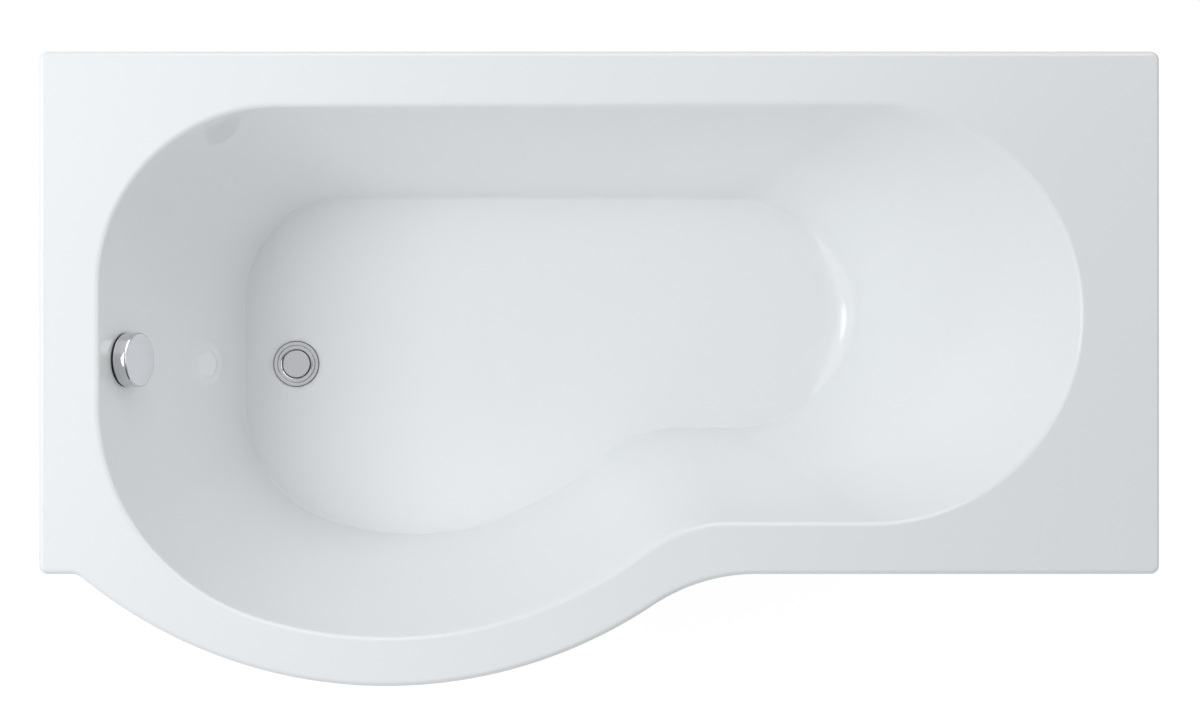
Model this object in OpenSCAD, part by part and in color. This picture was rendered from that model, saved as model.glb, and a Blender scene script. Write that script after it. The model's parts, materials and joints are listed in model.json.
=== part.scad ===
// P shaped shower bath, left hand: seen from its open front, the wide shower end and the waste
// are at the left. Origin on the floor below the middle of the rim's outer box, +X towards the
// foot end, +Y towards the wall, +Z up. Millimetres.

/* [Bath] */
// Length over the rim
bath_length = 1500; // [1460:10:1580]
// Width over the bulge
bath_width = 850; // [840:5:860]
// Width of the narrow end
narrow_width = 700; // [690:5:710]
// Height of the rim above the floor
rim_height = 550; // [530:5:580]
// Depth inside, from the rim to the floor at the waste
bath_depth = 385; // [370:5:395]
// Thickness of the acrylic shell
shell_wall = 5; // [3:0.5:6]
// Depth of the lip that turns down round the rim
lip_height = 25; // [18:1:35]

/* [Rim] */
// Width of the rim at the head (waste) end
head_rim = 81; // [76:1:90]
// Width of the rim at the foot end
foot_rim = 105; // [90:1:120]
// Width of the rim along the wall
back_rim = 74; // [70:1:80]
// Width of the rim along the narrow front
front_rim = 70; // [66:1:76]
// Width of the rim round the bulge
bulge_rim = 66; // [63:1:72]
// Distance of the bulge's centre from the head end
bulge_from_head = 465; // [455:1:480]
// Radius of the bulge at the rim's outer edge
bulge_edge_r = 645; // [630:5:660]
// Radius of the hollow curve from the bulge to the narrow front
neck_edge_r = 250; // [220:5:280]
// Radius of the small hollow curve beside the head corner
notch_r = 25; // [18:1:32]
// Radius of the rim's four corners in plan
corner_r = 12; // [10:1:16]
// Radius that rolls the rim over into its lip
edge_roll = 8; // [6:0.5:9]
// Radius that rolls the rim over into the basin
basin_roll = 8; // [6:0.5:12]

/* [Basin] */
// Level run of the head wall, from the rim to the floor
head_run = 122; // [115:1:130]
// Level run of the sloping backrest
foot_run = 263; // [245:1:280]
// Level run of the wall along the back
back_run = 89; // [80:1:96]
// Level run of the narrow front wall
front_run = 113; // [100:1:122]
// Level run of the bulge's wall
bulge_run = 104; // [94:1:112]
// Plan radius of the opening's head corner at the back
basin_back_r = 240; // [220:5:260]
// Plan radius of the opening's head corner at the front
basin_front_r = 300; // [280:5:320]
// Plan radius of the opening's hollow neck
basin_neck_r = 185; // [160:5:210]
// Plan radius of the floor's head corner at the back
floor_back_r = 165; // [150:5:180]
// Plan radius of the floor's head corner at the front
floor_front_r = 190; // [170:5:210]
// Plan radius of the floor in the bulge
floor_bulge_r = 415; // [400:5:430]
// Plan radius of the floor's hollow neck
floor_neck_r = 180; // [160:5:200]
// Radius of the crisp crease between the walls and the floor
crease_r = 6; // [4:1:20]
// Radius between the sloping backrest and the floor
backrest_r = 70; // [40:1:75]
// The floor falls 1 in this many towards the waste
floor_fall = 120; // [80:5:200]

/* [Waste] */
// Distance of the waste from the head end
waste_from_head = 284; // [278:1:290]
// Place of the waste across the bath
waste_y = 6; // [0:1:10]
// Radius of the recess round the waste
recess_r = 42.5; // [40:0.5:46]
// Depth of the recess
recess_depth = 4; // [3.5:0.1:5]
// Radius of the hole in the shell
shell_hole_r = 26; // [25.8:0.1:28]
// Radius of the waste's flange
flange_r = 35; // [33:0.5:37]
// Radius of the dish in the flange
dish_r = 30; // [28:0.5:31]
// Radius of the waste's clear throat
throat_r = 20.5; // [18:0.5:21]
// Radius over the 1 1/2 inch thread
thread_r = 23.9; // [23.6:0.1:24]
// Radius of the plug's cap
plug_r = 21.75; // [21.5:0.05:23]
// Lift of the plug
plug_lift = 12; // [8:1:14]
// Radius of the waste's body below the bath
trap_r = 29; // [28:0.5:32]
// Wall of that body
trap_wall = 3.5; // [2.5:0.5:4]
// Height of the body, from its flange to its underside
trap_height = 62; // [60:1:70]
// Length of the outlet's thread below the body
outlet_length = 22; // [16:1:30]
// Radius of the outlet's bore
outlet_bore_r = 19; // [16:0.5:20]

/* [Overflow] */
// Height of the overflow's centre below the rim
overflow_drop = 64; // [58:1:80]
// How far the overflow sits nearer the wall than the waste does
overflow_shift = 6; // [0:1:6]
// Radius of the control knob
knob_r = 37.5; // [35:0.5:40]
// Thickness of the knob
knob_depth = 21; // [18:0.5:24]
// Gap behind the knob, where the water enters
knob_gap = 3.5; // [3:0.5:6]
// Turn of the knob from shut to open, in degrees
knob_turn = 90; // [60:5:100]
// Radius of the slotted plate behind the knob
plate_r = 33; // [30:0.5:34]
// Thickness of that plate
plate_thick = 2.5; // [2:0.5:3]
// Radius of the overflow's cup behind the wall
cup_r = 30; // [29:0.5:32]
// Radius of the drum that pulls the wire
drum_r = 6; // [4.5:0.5:7]
// Radius of the crank that the wire pulls
crank_r = 15; // [14:0.5:18]
// Radius of the overflow hose over its ribs
hose_r = 13; // [12:0.5:13.5]
// Radius of the hose's bore
hose_bore_r = 10; // [8:0.5:10]
// Depth of the hose's ribs
rib_depth = 1.7; // [1:0.1:1.8]
// Spacing of the hose's ribs
rib_pitch = 6; // [5:0.5:10]
// Radius of the hose's bend
hose_bend_r = 70; // [60:1:80]
// Radius of the control cable's sheath
sheath_r = 3; // [2:0.5:3.5]
// Radius of the cable's bend
cable_bend_r = 42; // [30:1:44]
// Radius of the wire
wire_r = 1; // [0.5:0.1:1.5]

/* [Backing and timber] */
// Thickness of the glass fibre backing
backing_wall = 3; // [2:0.5:4]
// Width of the backing under the rim
backing_flange = 8; // [4:1:10]
// Thickness of the baseboard
board_thick = 18; // [12:1:22]
// How far the baseboard's edge lies inside the floor's corner
board_inset = 32; // [30:1:45]
// Distance of the board's head edge from the waste
board_from_waste = 60; // [55:1:80]
// Width of the battens under the rim
batten_w = 40; // [30:1:40]
// Thickness of the battens
batten_thick = 25; // [16:1:30]

/* [Legs] */
// Width of the two steel bars
bar_w = 40; // [34:1:50]
// Depth of their flanges
bar_depth = 25; // [18:1:32]
// Thickness of the steel
bar_sheet = 1.5; // [1:0.1:2]
// Distance of the head bar from the waste
head_bar_from_waste = 146; // [120:2:180]
// Distance of the foot bar inside the floor's foot end
foot_bar_inset = 82; // [75:1:120]
// How far the studs stand outside the floor's corner
stud_out = 28; // [24:1:34]
// Radius of the studs
stud_r = 5; // [4:0.5:5]
// Height of a stud above its bar
stud_above = 42; // [40:1:50]
// Depth of the middle leg's bracket
hat_depth = 42; // [40:1:50]
// Width across the nuts' flats
nut_flats = 17; // [16:1:19]
// Height of the nuts
nut_height = 8; // [6:1:8]
// Radius of the foot pads
pad_r = 28; // [24:1:34]
// Thickness of the pads' discs
pad_thick = 6; // [4:1:8]
// Travel of a foot upwards from here
foot_up = 10; // [5:1:10]

/* [Wall brackets] */
// Distance of each bracket from the middle
bracket_x = 480; // [300:10:600]
// Width of a bracket
bracket_w = 60; // [50:1:80]
// Thickness of a bracket
bracket_sheet = 2; // [1.5:0.1:3]
// Height of its upright leg
bracket_drop = 40; // [30:1:50]
// Distance between its two holes
bracket_holes = 35; // [30:1:40]
// Radius of its holes
bracket_hole_r = 3.5; // [2.5:0.1:4.5]

/* [Hidden] */

$fn = 64;
ACRYLIC = [0.95, 0.96, 0.97];
LAMINATE = [0.80, 0.82, 0.74];
TIMBER = [0.76, 0.60, 0.40];
ZINC = [0.70, 0.72, 0.74];
CHROME = [0.80, 0.81, 0.83];
WHITE_PLASTIC = [0.90, 0.90, 0.88];
GREY_PLASTIC = [0.60, 0.61, 0.62];
RUBBER = [0.10, 0.10, 0.11];

// points in each run of an outline; every outline has the same runs
N_CORNER = 10;
N_HEAD = 3;
N_TURN = 12;
N_BULGE_HEAD = 8; // up to the bulge's lowest point
N_BULGE_NECK = 10;
N_NECK = 8;
N_FRONT = 3;
N_FOOT = 12;
N_BACK = 6;
// steps round the rolls and the fillet
N_ROLL = 3;
N_FILLET = 5;

running_fit = 0.05; // round a pin or shaft that turns or slides
seat_gap = 0.1;     // between a face and the wall that it is screwed to
side_gap = 0.3;     // between pieces that lie side by side
bond_gap = 0.2;     // resin between the shell and its backing

// levels
floor_top = rim_height - bath_depth;
seat_top = floor_top - recess_depth;
backing_in = shell_wall + bond_gap;
backing_out = backing_in + backing_wall;
backing_pad = 0.8;
board_top = floor_top - backing_out - backing_pad;
board_bottom = board_top - board_thick;
boss_bottom = seat_top - backing_out;
batten_top = rim_height - shell_wall;

// outer box of the rim, the opening's box and the floor's box
edge_x = bath_length/2;
edge_y = bath_width/2;
edge_front = edge_y - narrow_width;
open_head = head_rim - edge_x;
open_foot = edge_x - foot_rim;
open_back = edge_y - back_rim;
open_front = edge_front + front_rim;
open_lowest = bulge_rim - edge_y;
floor_head = open_head + head_run;
floor_foot = open_foot - foot_run;
floor_back = open_back - back_run;
floor_front = open_front + front_run;
floor_lowest = open_lowest + bulge_run;
bulge_x = bulge_from_head - edge_x;
bulge_y = bulge_edge_r - edge_y;
waste_x = waste_from_head - edge_x;

// An outline is a list of [x, y, heading], where heading is its direction of travel in degrees
function angle_of(v) = (atan2(v.y, v.x) + 360) % 360;
function arc_pts(c, r, a0, a1, n) =
    [for (k = [0:n - 1]) let (a = a0 + (a1 - a0)*k/n)
        [c.x + r*cos(a), c.y + r*sin(a), a1 > a0 ? a + 90 : a - 90]];
function line_pts(p, q, n) =
    [for (k = [0:n - 1]) [p.x + (q.x - p.x)*k/n, p.y + (q.y - p.y)*k/n, angle_of(q - p)]];
function xy(p) = [p.x, p.y];
function lift(ring, z) = [for (p = ring) [p.x, p.y, z]];

// The centre of a curve of radius r that touches the line y = level from below and, from
// outside, a circle of radius big_r about c. side is -1 for its left and 1 for its right.
function hollow_centre(c, big_r, r, level, side) =
    let (dy = level - r - c.y) [c.x + side*sqrt(pow(big_r + r, 2) - dy*dy), level - r];

// A P shaped outline, anticlockwise from the end of its back line: back head corner, head,
// front head corner, bulge, neck, narrow front, round foot, back.
function basin_outline(head, foot, back, front, lowest, r_back, r_front, r_bulge, r_neck) =
    let (c_back = [head + r_back, back - r_back],
         c_bulge = [bulge_x, lowest + r_bulge],
         dx = head + r_front - bulge_x,
         c_front = c_bulge + [dx, -sqrt(pow(r_bulge - r_front, 2) - dx*dx)],
         c_neck = hollow_centre(c_bulge, r_bulge, r_neck, front, 1),
         a_front = angle_of(c_front - c_bulge),
         a_neck = angle_of(c_neck - c_bulge),
         r_foot = (back - front)/2,
         c_foot = [foot - r_foot, (back + front)/2])
    concat(arc_pts(c_back, r_back, 90, 180, N_CORNER),
           line_pts([head, c_back.y], [head, c_front.y], N_HEAD),
           arc_pts(c_front, r_front, 180, a_front, N_TURN),
           arc_pts(c_bulge, r_bulge, a_front, 270, N_BULGE_HEAD),
           arc_pts(c_bulge, r_bulge, 270, a_neck, N_BULGE_NECK),
           arc_pts(c_neck, r_neck, a_neck - 180, 90, N_NECK),
           line_pts([c_neck.x, front], [c_foot.x, front], N_FRONT),
           arc_pts(c_foot, r_foot, 270, 450, 2*N_FOOT),
           line_pts([c_foot.x, back], [c_back.x, back], N_BACK));

// The floor's outline, drawn in by g all round
function floor_outline(g) =
    basin_outline(floor_head + g, floor_foot - g, floor_back - g, floor_front + g, floor_lowest + g,
                  floor_back_r - g, floor_front_r - g, floor_bulge_r - g, floor_neck_r + g);

open_outline = basin_outline(open_head, open_foot, open_back, open_front, open_lowest,
                             basin_back_r, basin_front_r, bulge_edge_r - bulge_rim, basin_neck_r);
corner_outline = floor_outline(0);

// The rim's outer edge, with the same runs, drawn in by g
bulge_centre = [bulge_x, bulge_y];
notch_centre = hollow_centre(bulge_centre, bulge_edge_r, notch_r, edge_front, -1);
neck_centre = hollow_centre(bulge_centre, bulge_edge_r, neck_edge_r, edge_front, 1);
notch_angle = angle_of(notch_centre - bulge_centre);
neck_angle = angle_of(neck_centre - bulge_centre);
function edge_outline(g) =
    let (cx = edge_x - corner_r, cb = edge_y - corner_r, cf = edge_front + corner_r, r = corner_r - g,
         x = edge_x - g, front = edge_front + g, back = edge_y - g)
    concat(arc_pts([-cx, cb], r, 90, 180, N_CORNER),
           line_pts([-x, cb], [-x, cf], N_HEAD),
           arc_pts([-cx, cf], r, 180, 270, N_TURN/3),
           line_pts([-cx, front], [notch_centre.x, front], N_TURN/3),
           arc_pts(notch_centre, notch_r + g, 90, notch_angle - 180, N_TURN/3),
           arc_pts(bulge_centre, bulge_edge_r - g, notch_angle, 270, N_BULGE_HEAD),
           arc_pts(bulge_centre, bulge_edge_r - g, 270, neck_angle, N_BULGE_NECK),
           arc_pts(neck_centre, neck_edge_r + g, neck_angle - 180, 90, N_NECK),
           line_pts([neck_centre.x, front], [cx, front], N_FRONT),
           arc_pts([cx, cf], r, 270, 360, N_FOOT/2),
           line_pts([x, cf], [x, cb], N_FOOT),
           arc_pts([cx, cb], r, 0, 90, N_FOOT/2),
           line_pts([cx, back], [-cx, back], N_BACK));

// Height of the sloping floor below a point
waste_xy = [waste_x, waste_y];
function floor_level(p) = floor_top + (norm(p - waste_xy) - recess_r)/floor_fall;

// The radius at the foot of the wall: the crease's, swelling to the backrest's in the last
// part of the turn round the floor's foot end, where the outline's heading nears 90 degrees
SWELL_FROM = 0.6; // sine of the heading at which it starts
function foot_r(f) =
    let (s = max(0, (sin(f[2]) - SWELL_FROM)/(1 - SWELL_FROM)))
    crease_r + (backrest_r - crease_r)*s*s*(3 - 2*s);

// The basin's section from the opening's outline at o down to the floor's corner at f, for the
// surface that lies t outside the basin's face: the roll, the straight wall and the fillet.
// The roll and the fillet are square to their own outline, where the straight wall may run aslant.
function inward(p) = [-sin(p[2]), cos(p[2])];
function wall_section(o, f, t) =
    let (share = tan(atan2(rim_height - floor_level(xy(f)), (xy(f) - xy(o))*inward(f))/2),
         a_wall = 2*atan(share), r_top = max(basin_roll - t, 1), r_low = foot_r(f) + t,
         top = xy(o) - inward(o)*t*share, low = xy(f) - inward(f)*t*share,
         z_top = rim_height - t, z_low = floor_level(xy(f)) - t)
    concat([for (k = [0:N_ROLL]) let (a = a_wall*k/N_ROLL, p = top - inward(o)*r_top*(share - sin(a)))
                [p.x, p.y, z_top - r_top*(1 - cos(a))]],
           [for (k = [N_FILLET:-1:0]) let (a = a_wall*k/N_FILLET, p = low + inward(f)*r_low*(share - sin(a)))
                [p.x, p.y, z_low + r_low*(1 - cos(a))]]);
function wall_rings(t) =
    let (sections = [for (i = [0:len(open_outline) - 1]) wall_section(open_outline[i], corner_outline[i], t)])
    [for (k = [0:len(sections[0]) - 1]) [for (s = sections) s[k]]];
function reversed(list) = [for (k = [len(list) - 1:-1:0]) list[k]];

// A round ring about the waste. Each point lies between the way to its point of another ring and
// its place in an even spacing, so that none come too close where the other ring is far away.
function waste_ring(ring, r, z) =
    let (n = len(ring), start = angle_of(xy(ring[0]) - waste_xy))
    [for (i = [0:n - 1]) let (way = angle_of(xy(ring[i]) - waste_xy) - start,
                              a = start + ((way + 360) % 360 + 360*i/n)/2)
        [waste_x + r*cos(a), waste_y + r*sin(a), z]];

// A skin over rings of points, closed by a point at each end. The rings turn anticlockwise seen
// from the first point. Each four-sided patch is split the same way, from its upper edge down,
// so skins that lie side by side stay parallel where the wall twists.
module lofted(rings, first, last) {
    n = len(rings[0]);
    m = len(rings);
    function id(k, i) = 1 + k*n + i % n;
    polyhedron(concat([first], [for (ring = rings, p = ring) p], [last]), concat(
        [for (i = [0:n - 1]) [0, id(0, i + 1), id(0, i)]],
        [for (k = [0:m - 2], i = [0:n - 1]) let (falls = rings[k][i].z > rings[k + 1][i].z)
            [id(k, i), id(k, i + 1), id(k + 1, falls ? i + 1 : i)]],
        [for (k = [0:m - 2], i = [0:n - 1]) let (falls = rings[k][i].z > rings[k + 1][i].z)
            [id(k, falls ? i : i + 1), id(k + 1, i + 1), id(k + 1, i)]],
        [for (i = [0:n - 1]) [id(m - 1, i), id(m - 1, i + 1), 1 + m*n]]));
}

// A skin over rings of points whose last ring joins its first, as on a tube
module looped(rings) {
    n = len(rings[0]);
    m = len(rings);
    function id(k, i) = (k % m)*n + i % n;
    polyhedron([for (ring = rings, p = ring) p], concat(
        [for (k = [0:m - 1], i = [0:n - 1]) [id(k, i), id(k, i + 1), id(k + 1, i + 1)]],
        [for (k = [0:m - 1], i = [0:n - 1]) [id(k, i), id(k + 1, i + 1), id(k + 1, i)]]));
}

module ring(r_out, r_in, z0, z1) {
    translate([0, 0, z0]) difference() {
        cylinder(r = r_out, h = z1 - z0);
        translate([0, 0, -1]) cylinder(r = r_in, h = z1 - z0 + 2);
    }
}
module at_waste() { translate([waste_x, waste_y, 0]) children(); }

// A pan head screw, its shank down from the origin
screw_head = 2.4;
module screw(r, length) {
    translate([0, 0, -length]) cylinder(r = r, h = length);
    rotate_extrude() polygon([[0, 0], [2*r, 0], [2*r, screw_head/2], [1.4*r, screw_head], [0, screw_head]]);
}

// ---- shell, backing and baseboard ----

// The overflow's axis: square to the head wall, which leans out by head_draft
head_draft = atan(head_run/(rim_height - floor_level([floor_head, waste_y])));
overflow_x = open_head + overflow_drop*tan(head_draft);
overflow_y = waste_y + overflow_shift;
overflow_z = rim_height - overflow_drop;
// at_overflow: +Z square out of the wall into the basin, +X down the wall
module at_overflow() {
    translate([overflow_x, overflow_y, overflow_z]) rotate([0, 90 - head_draft, 0]) children();
}
module service_holes() {
    at_waste() translate([0, 0, boss_bottom - 5]) cylinder(r = shell_hole_r, h = 20);
    at_overflow() translate([0, 0, -backing_out - 5]) cylinder(r = shell_hole_r, h = backing_out + 10);
}

N_EDGE = 3; // steps round the rim's edge
recess_slope = tan(22.5); // share of a wall's thickness by which its 45 degree step moves out
module bath_shell() {
    inside = reversed(wall_rings(0));
    outside = wall_rings(shell_wall);
    flat_r = recess_r - recess_depth;
    rings = concat(
        [waste_ring(inside[0], flat_r, seat_top), waste_ring(inside[0], recess_r, floor_top)],
        inside,
        [for (k = [0:N_EDGE]) let (a = 90*k/N_EDGE)
            lift(edge_outline(edge_roll*(1 - sin(a))), rim_height - edge_roll*(1 - cos(a)))],
        [lift(edge_outline(0), rim_height - lip_height),
         lift(edge_outline(shell_wall), rim_height - lip_height),
         lift(edge_outline(shell_wall), rim_height - shell_wall)],
        outside,
        [waste_ring(inside[0], recess_r + shell_wall*recess_slope, floor_top - shell_wall),
         waste_ring(inside[0], flat_r + shell_wall*recess_slope, seat_top - shell_wall)]);
    color(ACRYLIC) difference() {
        lofted(rings, [waste_x, waste_y, seat_top], [waste_x, waste_y, seat_top - shell_wall]);
        service_holes();
    }
}

boss_r = recess_r + 2.5;
module grp_backing() {
    inside = reversed(wall_rings(backing_in));
    outside = wall_rings(backing_out);
    flat_r = recess_r - recess_depth;
    function flange(ring, z) =
        lift([for (i = [0:len(ring) - 1]) xy(ring[i]) - backing_flange*inward(open_outline[i])], z);
    rings = concat(
        [waste_ring(inside[0], flat_r + backing_in*recess_slope, seat_top - backing_in),
         waste_ring(inside[0], recess_r + backing_in*recess_slope, floor_top - backing_in)],
        inside,
        [flange(outside[0], rim_height - backing_in), flange(outside[0], rim_height - backing_out)],
        outside,
        [lift(outside[len(outside) - 1], board_top),
         waste_ring(inside[0], boss_r + backing_wall, board_top),
         waste_ring(inside[0], boss_r, boss_bottom)]);
    color(LAMINATE) difference() {
        lofted(rings, [waste_x, waste_y, seat_top - backing_in], [waste_x, waste_y, boss_bottom]);
        service_holes();
    }
}

module baseboard() {
    board_head = waste_x + board_from_waste;
    color(TIMBER) difference() {
        intersection() {
            translate([0, 0, board_bottom]) linear_extrude(board_thick)
                polygon([for (p = floor_outline(board_inset)) xy(p)]);
            translate([board_head, -edge_y, board_bottom - 1]) cube([bath_length, bath_width, board_thick + 2]);
        }
        for (p = frame_screw_places) translate([p.x, p.y, board_bottom - 1])
            cylinder(r = wood_screw_r + running_fit, h = wood_screw_grip + 2);
    }
}

// ---- battens under the rim ----

batten_edge = shell_wall + side_gap; // from the rim's edge to a batten
batten_end = 20;                     // from the rim's corner to a batten's end
batten_low = batten_top - batten_thick;
module batten(x0, x1, y0, y1) {
    color(TIMBER) translate([x0, y0, batten_low]) cube([x1 - x0, y1 - y0, batten_thick]);
}
batten_x = edge_x - batten_edge - batten_w; // inner face of the end battens
batten_y = edge_y - batten_edge - batten_w; // inner face of the back batten
module batten_back() {
    color(TIMBER) difference() {
        batten(batten_end - edge_x, edge_x - batten_end, batten_y, batten_y + batten_w);
        for (side = [-1, 1], p = bracket_screw_places(side)) translate([p.x, p.y, batten_low - 1])
            cylinder(r = wood_screw_r + running_fit, h = wood_screw_grip + 2);
    }
}
module batten_head() { batten(-batten_x - batten_w, -batten_x, edge_front + batten_end, batten_y - side_gap); }
module batten_foot() { batten(batten_x, batten_x + batten_w, edge_front + batten_end, batten_y - side_gap); }
module batten_front() {
    y = edge_front + batten_edge;
    batten(neck_centre.x + batten_end, batten_x - side_gap, y, y + batten_w);
}
module batten_bulge() {
    flat_half = max(270 - notch_angle, 0)/N_BULGE_HEAD/2; // half the turn of one flat of the lip
    r = (bulge_edge_r - shell_wall)*cos(flat_half) - side_gap;
    a_end = 5; // degrees from the notch and the neck to the batten's ends
    color(TIMBER) translate([bulge_x, bulge_y, batten_low]) rotate([0, 0, notch_angle + a_end])
        rotate_extrude(angle = neck_angle - notch_angle - 2*a_end, $fn = 200)
            translate([r - batten_w, 0]) square([batten_w, batten_thick]);
}

// ---- legs ----

head_bar_x = waste_x + head_bar_from_waste;
foot_bar_x = floor_foot - foot_bar_inset;
middle_x = (head_bar_x + foot_bar_x)/2;
middle_y = (floor_back + floor_front)/2;
back_stud_y = floor_back + stud_out;
stud_places = [[head_bar_x, back_stud_y], [head_bar_x, floor_lowest - stud_out],
               [foot_bar_x, back_stud_y], [foot_bar_x, floor_front - stud_out], [middle_x, middle_y]];
// top of the steel that each stud passes through: the bars lie under the board
bar_top = board_bottom;
hat_web_top = bar_top - hat_depth + bar_sheet;
stud_seats = [bar_top, bar_top, bar_top, bar_top, hat_web_top];
// the middle stud stays clear of the board when its foot is raised
stud_tops = [for (i = [0:4]) i < 4 ? bar_top + stud_above : board_bottom - foot_up - 2];

wood_screw_r = 2;
wood_screw_grip = 14;
bar_end = 20; // from a stud to its bar's end
bar_screw_x = bar_w/2 - 8;
bar_screw_y = 45;
hat_w = 62;
hat_brim = 24;
hat_screw_y = hat_w/2 + hat_brim/2;
board_middle_y = (floor_back + floor_front)/2;
frame_screw_places = concat(
    [for (x = [head_bar_x, foot_bar_x], sx = [-1, 1], sy = [-1, 1])
        [x + sx*bar_screw_x, board_middle_y + sy*bar_screw_y]],
    [for (sx = [-1, 1], sy = [-1, 1]) [middle_x + sx*bar_screw_x, middle_y + sy*hat_screw_y]]);
stud_hole_r = stud_r + 0.5;

module crossbar(x, y0, y1) {
    length = y1 - y0 + 2*bar_end;
    lip = 8; // the flanges' edges turn in
    color(ZINC) difference() {
        translate([x, y0 - bar_end, bar_top]) rotate([-90, 0, 0]) linear_extrude(length) difference() {
            translate([-bar_w/2, 0]) square([bar_w, bar_depth]);
            translate([bar_sheet - bar_w/2, bar_sheet]) square([bar_w - 2*bar_sheet, bar_depth - 2*bar_sheet]);
            translate([lip - bar_w/2, bar_sheet]) square([bar_w - 2*lip, bar_depth]);
        }
        for (y = [y0, y1]) translate([x, y, bar_top - bar_sheet - 1]) cylinder(r = stud_hole_r, h = bar_sheet + 2);
        for (p = frame_screw_places) translate([p.x, p.y, bar_top - bar_sheet - 1])
            cylinder(r = wood_screw_r + running_fit, h = bar_sheet + 2);
    }
}
module crossbar_head() { crossbar(head_bar_x, stud_places[1].y, stud_places[0].y); }
module crossbar_foot() { crossbar(foot_bar_x, stud_places[3].y, stud_places[2].y); }

// A top hat of folded sheet that carries the middle stud below the board
module middle_leg_bracket() {
    s = bar_sheet;
    half = hat_w/2;
    color(ZINC) difference() {
        translate([middle_x - bar_w/2, middle_y, bar_top]) rotate([90, 0, 90]) linear_extrude(bar_w)
            polygon([[-half - hat_brim, 0], [-half - hat_brim, -s], [-half, -s], [-half, -hat_depth],
                     [half, -hat_depth], [half, -s], [half + hat_brim, -s], [half + hat_brim, 0],
                     [half - s, 0], [half - s, s - hat_depth], [s - half, s - hat_depth], [s - half, 0]]);
        translate([middle_x, middle_y, bar_top - hat_depth - 1]) cylinder(r = stud_hole_r, h = s + 2);
        for (p = frame_screw_places) translate([p.x, p.y, bar_top - s - 1])
            cylinder(r = wood_screw_r + running_fit, h = s + 2);
    }
}
module frame_screws() {
    color(ZINC) for (p = frame_screw_places) translate([p.x, p.y, bar_top - bar_sheet]) rotate([180, 0, 0])
        screw(wood_screw_r, wood_screw_grip);
}
module leg_nuts() {
    color(ZINC) for (i = [0:4], below = [0, 1])
        translate([stud_places[i].x, stud_places[i].y,
                   below == 1 ? stud_seats[i] - bar_sheet - nut_height : stud_seats[i]])
            difference() {
                cylinder(r = nut_flats/2/cos(30), h = nut_height, $fn = 6);
                translate([0, 0, -1]) cylinder(r = stud_r + running_fit, h = nut_height + 2);
            }
}
pad_socket = 16; // depth of the stud's socket in a pad
module leg_stud(i) {
    color(ZINC) translate([stud_places[i].x, stud_places[i].y, pad_thick]) {
        h = stud_tops[i] - pad_thick;
        rotate_extrude() polygon([[0, 0], [stud_r, 0], [stud_r, h - 1], [stud_r - 1, h], [0, h]]);
    }
}
module foot_pad(i) {
    boss = stud_r + 6;
    color(GREY_PLASTIC) translate([stud_places[i].x, stud_places[i].y, 0]) rotate_extrude()
        polygon([[0, 0], [pad_r, 0], [pad_r, pad_thick - 2], [pad_r - 2, pad_thick], [boss + 3, pad_thick],
                 [boss, pad_thick + 3], [boss - 1, pad_thick + pad_socket],
                 [stud_r + running_fit, pad_thick + pad_socket], [stud_r + running_fit, pad_thick], [0, pad_thick]]);
}

// ---- wall brackets ----

bracket_screw_y = batten_y + batten_w/2;
function bracket_screw_places(side) =
    [for (sx = [-1, 1]) [side*bracket_x + sx*bracket_holes/2, bracket_screw_y]];
module wall_bracket(side) {
    bend_r = 3;
    color(ZINC) difference() {
        translate([side*bracket_x - bracket_w/2, 0, 0]) rotate([90, 0, 90]) linear_extrude(bracket_w) {
            low = batten_low - bracket_drop;
            under = batten_low - bracket_sheet;
            difference() {
                translate([batten_y, low]) square([edge_y - batten_y, bracket_drop]);
                translate([batten_y - 1, low - 1])
                    square([edge_y - batten_y - bracket_sheet + 1 - bend_r, bracket_drop - bracket_sheet + 1]);
                translate([edge_y - bracket_sheet - bend_r - 1, low - 1])
                    square([bend_r + 1, bracket_drop - bracket_sheet - bend_r + 1]);
                translate([edge_y - bracket_sheet - bend_r, under - bend_r]) circle(r = bend_r);
            }
        }
        for (sx = [-1, 1])
            translate([side*bracket_x + sx*bracket_holes/2, edge_y + 1, batten_low - bracket_drop/2])
                rotate([90, 0, 0]) cylinder(r = bracket_hole_r, h = bracket_sheet + 2);
        for (p = bracket_screw_places(side)) translate([p.x, p.y, batten_low - bracket_sheet - 1])
            cylinder(r = wood_screw_r + running_fit, h = bracket_sheet + 2);
    }
}
module bracket_screws() {
    color(ZINC) for (side = [-1, 1], p = bracket_screw_places(side))
        translate([p.x, p.y, batten_low - bracket_sheet]) rotate([180, 0, 0])
            screw(wood_screw_r, wood_screw_grip);
}

// ---- waste ----

washer_thick = 1.5;
gasket_thick = 3;
flange_top = floor_top;
dish_low = floor_top - 3.6;      // seat of the plug's seal
trap_top = boss_bottom - gasket_thick;
trap_flange = 4;                 // thickness of the body's flange
trap_flange_r = trap_r + 11;
trap_low = trap_top - trap_height;
outlet_low = trap_low - outlet_length;
spigot_low = trap_top - 17;      // lower end of the flange's thread
module waste_washer() {
    color(RUBBER) at_waste() ring(flange_r - 1, shell_hole_r + 1, seat_top, seat_top + washer_thick);
}
module waste_flange() {
    under = seat_top + washer_thick;
    color(CHROME) at_waste() rotate_extrude() polygon([
        [throat_r, spigot_low], [thread_r, spigot_low], [thread_r, seat_top - 1], [shell_hole_r + 1, under],
        [flange_r - 0.6, under], [flange_r, under + 0.6], [flange_r, flange_top - 0.8],
        [flange_r - 0.8, flange_top], [dish_r + 0.6, flange_top], [dish_r, flange_top - 0.4],
        [thread_r - 0.4, dish_low + 0.3], [thread_r - 1, dish_low], [throat_r, dish_low]]);
}
module waste_gasket() { color(RUBBER) at_waste() ring(trap_flange_r, shell_hole_r + 1, trap_top, boss_bottom); }

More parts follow.
